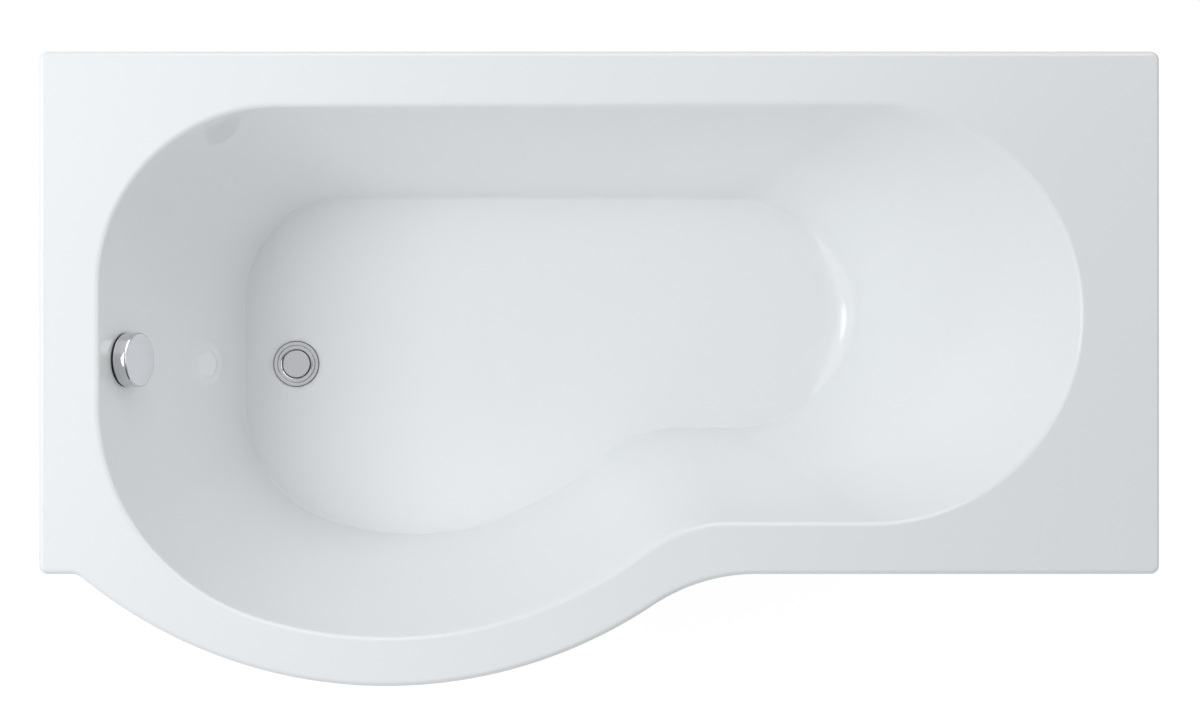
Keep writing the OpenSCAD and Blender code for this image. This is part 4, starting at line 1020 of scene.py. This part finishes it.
# %% Build and run a tree
def new_tree(name, inputs):
    """A tree with a geometry input, a material, the named inputs and a geometry output."""
    tree = bpy.data.node_groups.new(name, "GeometryNodeTree")
    sockets = {"Geometry": "Geometry", **inputs, "Material": "Material"}
    for label, kind in sockets.items():
        tree.interface.new_socket(label, in_out="INPUT", socket_type=f"NodeSocket{kind}")
    tree.interface.new_socket("Geometry", in_out="OUTPUT", socket_type="NodeSocketGeometry")
    return tree, tree.nodes.new("NodeGroupInput").outputs, tree.nodes.new("NodeGroupOutput").inputs


def finish_tree(tree, geometry, into, given):
    """Ends a tree in Realize Instances and Set Material."""
    real = tree.nodes.new("GeometryNodeRealizeInstances")
    paint = tree.nodes.new("GeometryNodeSetMaterial")
    tree.links.new(geometry, real.inputs[0])
    tree.links.new(real.outputs[0], paint.inputs["Geometry"])
    tree.links.new(given["Material"], paint.inputs["Material"])
    tree.links.new(paint.outputs[0], into[0])


def run_tree(tree, mesh, values):
    """The plain mesh that a tree makes of a mesh, with values for its named inputs."""
    base = object_with("base", mesh)
    modifier = base.modifiers.new("tree", "NODES")
    modifier.node_group = tree
    for item in tree.interface.items_tree:
        if item.in_out == "INPUT" and item.name in values:
            modifier[item.identifier] = values[item.name]
    return plain_mesh(base)


# %% [markdown]
# ## Fasteners on points
#
# Twelve screws hold the bars and the bracket under the board, four hold the wall brackets, and ten
# nuts clamp the studs. Each kind is one mesh, made once. The tree sets it on points, and turns each
# one at random from a fixed seed, because nobody stops every screw at the same angle.

# %% The tree that sets fasteners on points
def fastener_tree():
    """Copies of an object on a mesh's points, each turned round its own upright axis."""
    tree, given, out = new_tree("fasteners_on_points", {"Fastener": "Object", "Seed": "Int"})
    kind = tree.nodes.new("GeometryNodeObjectInfo")
    turn = tree.nodes.new("FunctionNodeRandomValue")
    turn.data_type = "FLOAT_VECTOR"
    turn.inputs["Min"].default_value = (0, 0, 0)
    turn.inputs["Max"].default_value = (0, 0, 2 * math.pi)
    as_turn = tree.nodes.new("FunctionNodeEulerToRotation")
    place = tree.nodes.new("GeometryNodeInstanceOnPoints")
    tree.links.new(given["Fastener"], kind.inputs["Object"])
    tree.links.new(given["Seed"], turn.inputs["Seed"])
    tree.links.new(turn.outputs["Value"], as_turn.inputs[0])
    tree.links.new(given["Geometry"], place.inputs["Points"])
    tree.links.new(kind.outputs["Geometry"], place.inputs["Instance"])
    tree.links.new(as_turn.outputs[0], place.inputs["Rotation"])
    finish_tree(tree, place.outputs[0], out, given)
    return tree


FASTENER_TREE = fastener_tree()
FASTENER_ANGLE = 30


def set_on_points(fastener, points, seed):
    """One mesh with a fastener's mesh at every point."""
    model = object_with("model", fastener)
    values = {"Fastener": model, "Seed": seed, "Material": ZINC}
    made = run_tree(FASTENER_TREE, mesh_of(points, []), values)
    bpy.data.objects.remove(model)
    shade(made, FASTENER_ANGLE)
    return made


print("tree", FASTENER_TREE.name, "with", len(FASTENER_TREE.nodes), "nodes")

# %% [markdown]
# ## The screw
#
# A wood screw under the bath shows only its pan head and the cross for the driver. The head and
# the shank are one spun profile, and the cross is cut out of the head by two flat wedges, as the
# maker's punch presses it in. The thread is in the timber, so the shank stays smooth.

# %% One screw
screw_r, screw_length, head_r, head_high = 2 * MM, 14 * MM, 4 * MM, 2.4 * MM
cross_wide, cross_thin, cross_deep = 1.9 * MM, 0.45 * MM, 1.5 * MM
CROSS_TAPER = 0.4  # share of the cross's size that is left at its bottom
PAN_SHOULDER = 0.35  # share of the head's height that its round part starts at


def prism(low, high):
    """A closed mesh between two rings of points, each of them a flat face."""
    n = len(low)
    sides = [(k, (k + 1) % n, n + (k + 1) % n, n + k) for k in range(n)]
    return mesh_of(low + high, [tuple(range(n)), tuple(range(n, 2 * n))] + sides)


def cross_cutters():
    """The two tapered wedges of a screwdriver's tip, pointing up into a head that faces down."""
    low, high = -head_high - 0.2 * MM, -head_high + cross_deep
    wedges = []
    for a, b in ((cross_wide, cross_thin), (cross_thin, cross_wide)):
        mouth = [(-a, -b, low), (a, -b, low), (a, b, low), (-a, b, low)]
        wedges.append(prism(mouth, [(CROSS_TAPER * x, CROSS_TAPER * y, high) for x, y, _ in mouth]))
    return wedges


def pan_screw():
    """A wood screw, its pan head down and its shank up in the timber."""
    shank = [(0, screw_length), (0.3 * MM, screw_length - 0.2 * MM), (screw_r, screw_length - 4 * MM),
             (screw_r, 0), (head_r, 0)]
    crown = [(head_r * math.cos(a), -head_high * (PAN_SHOULDER + (1 - PAN_SHOULDER) * math.sin(a)))
             for a in np.linspace(0, math.pi / 2, 7)]
    crown[-1] = (0, -head_high)
    mesh = spun(shank + crown, segments=24)
    for wedge in cross_cutters():
        mesh = combined(mesh, wedge, "DIFFERENCE")
    return mesh


screw_mesh = pan_screw()
print("faces of a screw", len(screw_mesh.polygons))

# %% [markdown]
# ## The nut
#
# A hexagon nut is a slice of hexagonal bar whose corners are turned off at both faces, which
# leaves a curved line on each flat. A bevel can't draw that line. So the nut is made as the
# machine makes it: a turned, drilled blank, and what it shares with a hexagonal prism.

# %% One nut
nut_flats, nut_high, nut_hole_r, nut_bevel = 17 * MM, 8 * MM, 5.1 * MM, 0.9 * MM


def hex_nut():
    """A hexagon nut round the Z axis, with its middle at the origin."""
    half, point_r = nut_high / 2, nut_flats / math.sqrt(3)
    blank_r = point_r + 0.2 * MM
    blank = rounded([(nut_hole_r, -half), (nut_flats / 2, -half), (blank_r, -half + nut_bevel),
                     (blank_r, half - nut_bevel), (nut_flats / 2, half), (nut_hole_r, half)],
                    0.3 * MM, steps=2)
    angles = [math.radians(60 * k) for k in range(6)]
    low = [(point_r * math.cos(a), point_r * math.sin(a), -nut_high) for a in angles]
    hexagon = prism(low, [(x, y, nut_high) for x, y, _ in low])
    return combined(spun(blank, segments=48), hexagon, "INTERSECT")


nut_mesh = hex_nut()
print("faces of a nut", len(nut_mesh.polygons))

# %% [markdown]
# ## Where the screws and nuts go
#
# The heads sit under the bars, the bracket and the wall brackets, and each stud has a nut above
# and below the sheet that carries it. The places follow from the CAD nodes' own boxes, so they
# stay right when the frame changes.

# %% Set the screws
bar_sheet, bracket_sheet = 1.5 * MM, 2 * MM
bar_screw_x, bar_screw_y, hat_screw_y = 12 * MM, 45 * MM, 43 * MM
bracket_screw_x, bracket_screw_y = 17.5 * MM, 20 * MM


def middle_of(node):
    """The middle of a CAD node's box."""
    low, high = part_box(node)
    return (low + high) / 2


studs = [middle_of(f"leg_stud_{k}") for k in range(1, 6)]
bars = [("crossbar_head", bar_screw_y), ("crossbar_foot", bar_screw_y), ("middle_leg_bracket", hat_screw_y)]
sheet_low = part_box("crossbar_head")[1].z - bar_sheet
bar_screws = [(middle_of(bar).x + dx, studs[4].y + dy, sheet_low)
              for bar, reach in bars for dx in (-bar_screw_x, bar_screw_x) for dy in (-reach, reach)]
add_piece("frame_screws_finished", set_on_points(screw_mesh, bar_screws, seed=3), "bath",
          ZINC, ["frame_screws"])

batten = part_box("batten_back")[0]
wall_screws = [(middle_of(f"wall_bracket_{side}").x + dx, batten.y + bracket_screw_y,
                batten.z - bracket_sheet)
               for side in ("left", "right") for dx in (-bracket_screw_x, bracket_screw_x)]
add_piece("bracket_screws_finished", set_on_points(screw_mesh, wall_screws, seed=5), "bath",
          ZINC, ["bracket_screws"])

# %% Set the nuts
web_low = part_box("middle_leg_bracket")[0].z
sheets_low = [sheet_low] * 4 + [web_low]  # of the sheet that each stud goes through
nut_points = [(stud.x, stud.y, level) for stud, under in zip(studs, sheets_low)
              for level in (under - nut_high / 2, under + bar_sheet + nut_high / 2)]
add_piece("leg_nuts_finished", set_on_points(nut_mesh, nut_points, seed=7), "bath",
          ZINC, ["leg_nuts"])

# %% [markdown]
# ## Threaded studs
#
# A thread is one wave wound round a rod. The tree moves each point of a plain rod in by a wave of
# its height and its angle, so the crest climbs by one pitch in each turn, as on a real screw. The
# Screw modifier could wind a profile up instead, but it leaves both ends open.

# %% The tree that cuts a thread
def thread_tree():
    """Draws a rod round the Z axis in between the crests of a thread."""
    tree, given, out = new_tree("cut_thread", {"Pitch": "Float", "Depth": "Float", "Radius": "Float"})
    place = tree.nodes.new("GeometryNodeInputPosition")
    split = tree.nodes.new("ShaderNodeSeparateXYZ")
    tree.links.new(place.outputs[0], split.inputs[0])
    climb = maths(tree, "DIVIDE", split.outputs["Z"], given["Pitch"])
    angle = maths(tree, "ARCTAN2", split.outputs["Y"], split.outputs["X"])
    phase = maths(tree, "SUBTRACT", maths(tree, "MULTIPLY", climb, 2 * math.pi), angle)
    wave = maths(tree, "MULTIPLY_ADD", maths(tree, "COSINE", phase), 0.5, -0.5)
    inward_by = maths(tree, "DIVIDE", maths(tree, "MULTIPLY", wave, given["Depth"]), given["Radius"])
    share = maths(tree, "ADD", inward_by, 1.0)
    scale = tree.nodes.new("ShaderNodeCombineXYZ")
    for axis, value in (("X", share), ("Y", share), ("Z", 1.0)):
        feed(tree, value, scale.inputs[axis])
    product = tree.nodes.new("ShaderNodeVectorMath")
    product.operation = "MULTIPLY"
    tree.links.new(place.outputs[0], product.inputs[0])
    tree.links.new(scale.outputs[0], product.inputs[1])
    move = tree.nodes.new("GeometryNodeSetPosition")
    tree.links.new(given["Geometry"], move.inputs["Geometry"])
    tree.links.new(product.outputs[0], move.inputs["Position"])
    finish_tree(tree, move.outputs[0], out, given)
    return tree


THREAD_TREE = thread_tree()
print("tree", THREAD_TREE.name, "with", len(THREAD_TREE.nodes), "nodes")

# %% Five studs
thread_pitch, thread_depth, stud_r = 1.5 * MM, 0.9 * MM, 5 * MM
ROD_SIDES, RINGS_IN_PITCH, THREAD_ANGLE = 18, 6, 60


def plain_rod(low, high):
    """A rod round the Z axis, with chamfered ends and rings close enough for a thread."""
    levels = np.linspace(low, high, round((high - low) / thread_pitch * RINGS_IN_PITCH))
    near_end = np.minimum(levels - low, high - levels)
    side = [(stud_r - max(0, MM - d), z) for d, z in zip(near_end, levels)]
    return spun([(0, low)] + side + [(0, high)], segments=ROD_SIDES)


for k, centre in enumerate(studs, start=1):
    low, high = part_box(f"leg_stud_{k}")
    mesh = run_tree(THREAD_TREE, plain_rod(low.z, high.z),
                    {"Pitch": thread_pitch, "Depth": thread_depth, "Radius": stud_r, "Material": ZINC})
    mesh.transform(Matrix.Translation((centre.x, centre.y, 0)))
    shade(mesh, THREAD_ANGLE)
    add_piece(f"leg_stud_{k}_finished", mesh, f"foot_{k}", ZINC, [f"leg_stud_{k}"])

# %% [markdown]
# ## Feet
#
# Each stud ends in a grey plastic foot: a flat pad with a ring to stand on, and a boss that grips
# the stud. It is round all the way, so it is one spun profile, used five times.

# %% Five feet
pad_r, pad_thick, pad_hollow = 28 * MM, 6 * MM, 0.6 * MM
boss_side, boss_top, stud_hole_r = 11 * MM, 22 * MM, stud_r + 0.1 * MM
pad_profile = rounded([
    (0, pad_hollow), (pad_r - 7 * MM, pad_hollow), (pad_r - 6 * MM, 0), (pad_r, 0),
    (pad_r, pad_thick - 2 * MM), (pad_r - 2 * MM, pad_thick), (boss_side + 3 * MM, pad_thick),
    (boss_side, pad_thick + 3 * MM), (boss_side - MM, boss_top), (stud_hole_r, boss_top),
    (stud_hole_r, pad_thick), (0, pad_thick)], 0.8 * MM)
for k, centre in enumerate(studs, start=1):
    mesh = spun(pad_profile, Matrix.Translation((centre.x, centre.y, 0)), segments=96)
    add_piece(f"foot_pad_{k}_finished", mesh, f"foot_{k}", GREY_PLASTIC, [f"foot_pad_{k}"])

# %% [markdown]
# ## A tube along a route
#
# The overflow's hose and the control cable both run from the overflow to the waste, on a route of
# two straights and one bend. The tree turns the route's line into a tube. A wave along the line
# can pinch the tube into ribs, and stops short of both ends, where a nut grips it. The ribs could
# be an Array of one rib along a curve, but the wave keeps hose and ribs one closed skin.

# %% The tree that follows a route
RIB_FLATNESS = 1.6  # times the wave is raised before it is cut off, for ribs with level tops


def rib_wave(tree, along, given):
    """From 0 on a rib to 1 between two ribs, and 0 over the plain ends."""
    from_end = maths(tree, "MINIMUM", along, maths(tree, "SUBTRACT", given["Length"], along))
    ribbed = maths(tree, "GREATER_THAN", from_end, given["Plain end"])
    turns = maths(tree, "DIVIDE", maths(tree, "SUBTRACT", along, given["Plain end"]), given["Rib pitch"])
    wave = maths(tree, "COSINE", maths(tree, "MULTIPLY", turns, 2 * math.pi))
    raised = maths(tree, "MULTIPLY", wave, RIB_FLATNESS)
    limited = maths(tree, "MAXIMUM", maths(tree, "MINIMUM", raised, 1.0), -1.0)
    return maths(tree, "MULTIPLY", maths(tree, "MULTIPLY_ADD", limited, -0.5, 0.5), ribbed)


def route_tree():
    """A tube along a line of edges, with ribs."""
    tree, given, out = new_tree("tube_on_route", {
        "Radius": "Float", "Rib depth": "Float", "Rib pitch": "Float", "Plain end": "Float",
        "Step": "Float", "Sides": "Int", "Length": "Float"})
    line = tree.nodes.new("GeometryNodeMeshToCurve")
    even = tree.nodes.new("GeometryNodeResampleCurve")
    even.mode = "LENGTH"
    along = tree.nodes.new("GeometryNodeSplineParameter").outputs["Length"]
    ring = tree.nodes.new("GeometryNodeCurvePrimitiveCircle")
    tube = tree.nodes.new("GeometryNodeCurveToMesh")
    tube.inputs["Fill Caps"].default_value = True
    tree.links.new(given["Geometry"], line.inputs["Mesh"])
    tree.links.new(line.outputs[0], even.inputs["Curve"])
    tree.links.new(given["Step"], even.inputs["Length"])
    tree.links.new(given["Sides"], ring.inputs["Resolution"])
    tree.links.new(given["Radius"], ring.inputs["Radius"])
    dip = maths(tree, "MULTIPLY", rib_wave(tree, along, given), given["Rib depth"])
    share = maths(tree, "DIVIDE", dip, given["Radius"])
    tree.links.new(maths(tree, "SUBTRACT", 1.0, share), tube.inputs["Scale"])
    tree.links.new(even.outputs[0], tube.inputs["Curve"])
    tree.links.new(ring.outputs["Curve"], tube.inputs["Profile Curve"])
    finish_tree(tree, tube.outputs[0], out, given)
    return tree


ROUTE_TREE = route_tree()
print("tree", ROUTE_TREE.name, "with", len(ROUTE_TREE.nodes), "nodes")

# %% A line with one bend
BEND_POINTS, STRAIGHT_POINTS = 40, 30


def behind_overflow(down, behind):
    """X and Z of a point down the wall from the overflow's centre and behind the wall's face."""
    c, s = overflow_axis.x, overflow_axis.z
    return np.array([overflow_centre.x + down * s - behind * c, overflow_centre.z - down * c - behind * s])


def route(start, start_angle, end, end_angle, bend_r, y_start, y_end):
    """A line that leaves at one angle below level, bends once and arrives at another, and its
    length. Its start and end are X and Z, and Y changes evenly along it."""
    a0, a1 = math.radians(start_angle), math.radians(end_angle)
    d0, d1 = np.array([math.cos(a0), -math.sin(a0)]), np.array([math.cos(a1), -math.sin(a1)])
    v = end - start
    to_corner = (v[0] * d1[1] - v[1] * d1[0]) / (d0[0] * d1[1] - d0[1] * d1[0])
    cut = bend_r * math.tan((a0 - a1) / 2)
    first, second = start + d0 * (to_corner - cut), start + d0 * to_corner + d1 * cut
    centre = first + bend_r * np.array([math.sin(a0), math.cos(a0)])
    bend = [centre - bend_r * np.array([math.sin(a), math.cos(a)]) for a in np.linspace(a0, a1, BEND_POINTS)]
    line = np.array([start, *between(start, first, STRAIGHT_POINTS), *bend,
                     *between(second, end, STRAIGHT_POINTS), end])
    passed = np.concatenate(([0], np.cumsum(np.linalg.norm(np.diff(line, axis=0), axis=1))))
    y = y_start + (y_end - y_start) * passed / passed[-1]
    return np.column_stack((line[:, 0], y, line[:, 1])), passed[-1]


# %% A tube on a line
TUBE_SAME_POINT, TUBE_ANGLE = 1e-6, 50


def tube_on(points, values):
    """The mesh of a tube along a line of points."""
    mesh = bpy.data.meshes.new("route")
    mesh.from_pydata([tuple(p) for p in points], [(k, k + 1) for k in range(len(points) - 1)], [])
    made = closed_up(run_tree(ROUTE_TREE, mesh, values), TUBE_SAME_POINT)
    shade(made, TUBE_ANGLE)
    return made


# %% [markdown]
# ## The overflow's hose
#
# Water that reaches the overflow runs down a ribbed hose behind the head wall and into the side of
# the waste's body. It leaves the overflow along the wall, bends once, and comes in at a slope.

# %% Hose
wall_angle = 90 - math.degrees(math.asin(overflow_axis.z))
hose_r, hose_bend_r, rib_depth, rib_pitch = 13 * MM, 70 * MM, 1.7 * MM, 6 * MM
nut_grip, nut_wall, body_reach = 7 * MM, 4 * MM, 30 * MM  # the hose's lower nut, and the body beside it
inlet_angle, inlet_z = 25, 103.8 * MM
slope = math.radians(inlet_angle)

inlet_length = nut_grip + (body_reach + (hose_r + nut_wall) * math.sin(slope)) / math.cos(slope)
hose_end = np.array([waste.x - inlet_length * math.cos(slope), inlet_z + inlet_length * math.sin(slope)])
hose_start = behind_overflow(46 * MM, 28.7 * MM)  # at the spigot of the overflow's body
hose_line, hose_length = route(hose_start, wall_angle, hose_end, inlet_angle, hose_bend_r,
                               overflow_centre.y, overflow_centre.y)
hose = tube_on(hose_line, {
    "Radius": hose_r, "Rib depth": rib_depth, "Rib pitch": rib_pitch, "Plain end": 2 * hose_r,
    "Step": 0.75 * MM, "Sides": 40, "Length": hose_length, "Material": GREY_PLASTIC})
add_piece("overflow_hose_finished", hose, "bath", GREY_PLASTIC, ["overflow_hose"])
print(f"hose {hose_length:.3f} m")

# %% [markdown]
# ## The control cable
#
# The cable's black sheath runs beside the hose, from the overflow's drum to the gland at the
# waste's lift wire, where it comes in level. It is the same tube without ribs.

# %% Cable
cable_r, cable_bend_r, gland_y = 3 * MM, 42 * MM, 41 * MM
drum_side = 24 * MM  # of the cable's upper end, from the overflow's middle

cable_end = np.array([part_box("control_cable")[1].x, middle_of("cable_wire").z])
cable_start = behind_overflow(36 * MM, 23.2 * MM)  # at the drum behind the knob
cable_line, cable_length = route(cable_start, wall_angle, cable_end, 0, cable_bend_r,
                                 overflow_centre.y + drum_side, gland_y)
cable = tube_on(cable_line, {
    "Radius": cable_r, "Rib depth": 0.0, "Rib pitch": rib_pitch, "Plain end": 0.0,
    "Step": 3 * MM, "Sides": 20, "Length": cable_length, "Material": RUBBER})
add_piece("control_cable_finished", cable, "bath", RUBBER, ["control_cable"])
print(f"cable {cable_length:.3f} m")

# %% [markdown]
# ## Pieces that stay as they are
#
# The seals, the spindle, the stem, the wire and the overflow's screws are simple shapes deep in
# the assembly. Their CAD meshes are good enough, so they only get their finish.

# %% Seals and spindle
PLAIN_NODES = {
    RUBBER: ["waste_washer", "waste_gasket", "overflow_gasket", "plug_seal"],
    ZINC: ["overflow_spindle", "plug_stem", "cable_wire", "overflow_screws"],
}
for material, nodes in PLAIN_NODES.items():
    for node in nodes:
        mesh = frame["nodes"][node].data
        mesh.materials.clear()
        mesh.materials.append(material)
    print(material.name, *nodes)

# %% [markdown]
# ## The floor
#
# The bath stands on a studio's white floor that fades into the background. A floor lit until it
# clips to white would throw too much light up at the bath. So it tells rays apart: where it is
# seen, straight or in a mirror, it glows almost white, and only the little that a darker grey
# adds carries the bath's shadow. For the light that it returns, it is a plain grey.

# %% Floor
FLOOR_HALF = 9
GREY_LIT, GREY_SEEN, FLOOR_GLOW = 0.45, 0.22, 0.89


def seen_directly(tree):
    """1 for the rays that show a surface as it looks: from the camera, in gloss and through glass."""
    rays = tree.nodes.new("ShaderNodeLightPath").outputs
    shown = maths(tree, "MAXIMUM", rays["Is Camera Ray"], rays["Is Glossy Ray"])
    return maths(tree, "MAXIMUM", shown, rays["Is Transmission Ray"])


def studio_floor():
    """White where it is seen, less the bath's own shadow, and grey for the light it returns."""
    material, tree, shader = start_material("studio_floor", roughness=0.9)
    seen = seen_directly(tree)
    tone = ramp(tree, seen, [(0, (GREY_LIT,) * 3), (1, (GREY_SEEN,) * 3)])
    tree.links.new(tone, shader.inputs["Base Color"])
    glow = tree.nodes.new("ShaderNodeEmission")
    tree.links.new(spread(tree, seen, 0.0, FLOOR_GLOW), glow.inputs["Strength"])
    both = tree.nodes.new("ShaderNodeAddShader")
    tree.links.new(shader.outputs["BSDF"], both.inputs[0])
    tree.links.new(glow.outputs["Emission"], both.inputs[1])
    tree.links.new(both.outputs["Shader"], tree.nodes["Material Output"].inputs["Surface"])
    return material


corners = [(x * FLOOR_HALF, y * FLOOR_HALF, 0) for x, y in ((-1, -1), (1, -1), (1, 1), (-1, 1))]
floor_mesh = bpy.data.meshes.new("floor")
floor_mesh.from_pydata(corners, [], [(0, 1, 2, 3)])
floor_mesh.materials.append(studio_floor())
floor = object_with("floor", floor_mesh)
floor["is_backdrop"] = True
print("floor", 2 * FLOOR_HALF, "m square")

# %% [markdown]
# ## The room
#
# The world does three jobs. To the camera it is white. To everything matt it is an even fill,
# without which the basin's walls would sink into shade. To shiny surfaces it is a grey room with
# round panels, bright and dark: white ones for the wide highlight on the knob, the band at its
# edge and the shine at the foot of the backrest, dark ones for the lines that make chrome read as
# chrome. Panels in the world have no place, only a direction, so every piece mirrors the same ones.

# %% World
FILL = (0.519, 0.530, 0.536)
ROOM_TONES = [(0.0, (0.9, 0.9, 0.9)), (0.3, (0.55, 0.56, 0.58)),  # from level to straight up
              (0.8, (0.5, 0.51, 0.53)), (0.97, (0.68, 0.68, 0.69))]
PANELS = [  # grey level, then azimuth from +X, elevation, half angle and softness in degrees
    (0.12, -60, 30, 30, 6),
    (0.05, -20, 71, 16, 3),
    (1.7, 3, 42, 16, 3),
    (2.6, 72, 34, 30, 4),
    (1.7, 176, 39, 26, 2),
    (6.0, 174, 47, 7, 1.5),
    (0.04, 178, 68, 4, 1),
]


def heading(azimuth, elevation):
    """The direction at an angle round Z, from +X, and an angle above level."""
    a, e = math.radians(azimuth), math.radians(elevation)
    return math.cos(e) * math.cos(a), math.cos(e) * math.sin(a), math.sin(e)


def in_panel(tree, direction, azimuth, elevation, half_angle, soft):
    """1 inside a round panel in the room, 0 outside, with a soft edge."""
    dot = tree.nodes.new("ShaderNodeVectorMath")
    dot.operation = "DOT_PRODUCT"
    dot.inputs[1].default_value = heading(azimuth, elevation)
    near = tree.nodes.new("ShaderNodeMapRange")
    near.inputs["From Min"].default_value = math.cos(math.radians(half_angle + soft))
    near.inputs["From Max"].default_value = math.cos(math.radians(half_angle - soft))
    tree.links.new(direction, dot.inputs[0])
    tree.links.new(dot.outputs["Value"], near.inputs["Value"])
    return near.outputs["Result"]


def studio_world():
    """White behind the bath, an even fill, and for shiny pieces a room with panels."""
    world = bpy.data.worlds.new("studio")
    world.use_nodes = True
    tree = world.node_tree
    direction = tree.nodes.new("ShaderNodeTexCoord").outputs["Generated"]
    split = tree.nodes.new("ShaderNodeSeparateXYZ")
    tree.links.new(direction, split.inputs["Vector"])
    room = ramp(tree, split.outputs["Z"], ROOM_TONES)
    for level, *shape in PANELS:
        room = blend(tree, in_panel(tree, direction, *shape), room, (level, level, 1.02 * level, 1))
    rays = tree.nodes.new("ShaderNodeLightPath").outputs
    lit = blend(tree, rays["Is Glossy Ray"], (*FILL, 1), room)
    seen = blend(tree, rays["Is Camera Ray"], lit, (1, 1, 1, 1))
    tree.links.new(seen, tree.nodes["Background"].inputs["Color"])
    return world


bpy.context.scene.world = studio_world()
print("panels in the room", len(PANELS))

# %% [markdown]
# ## The lamps
#
# A large soft lamp at the head, high up, gives the basin its shape, and a weaker one from the back
# opens its shade. They are hidden from gloss: the panels in the world stand in for them there,
# with soft ends, and no rim is washed out by a mirrored lamp when the bath is seen from a side.

# %% Lamps
LIT_POINT = (0, 0, 0.4)


def softbox(name, place, width, height, power, colour):
    """A rectangular soft lamp that faces the bath."""
    data = bpy.data.lights.new(name, "AREA")
    data.shape = "RECTANGLE"
    data.size, data.size_y = width, height
    data.energy = power
    data.color = colour
    lamp = object_with(name, data)
    lamp.location = place
    lamp.rotation_euler = (Vector(LIT_POINT) - Vector(place)).to_track_quat("-Z", "Y").to_euler()
    lamp.visible_glossy = False
    print(f"{name}: {power} W")


softbox("key", (-2.2, 0.3, 2.9), 1.7, 1.4, 39, (0.945, 1.0, 1.035))
softbox("side", (0, 2.8, 2.2), 2.0, 1.2, 9, (1.0, 0.98, 1.01))

# %% [markdown]
# ## The look's own setting
#
# Standard shows each colour as it was written. Blender's default would turn the whites grey.

# %% View transform
bpy.context.scene.view_settings.view_transform = "Standard"
print("view transform", bpy.context.scene.view_settings.view_transform)

# %% [markdown]
# ## The last check
# ## The finished box
#
# The finished bath has to be as large as the construction it started from, so its box is measured.

# %% Sizes
low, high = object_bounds()
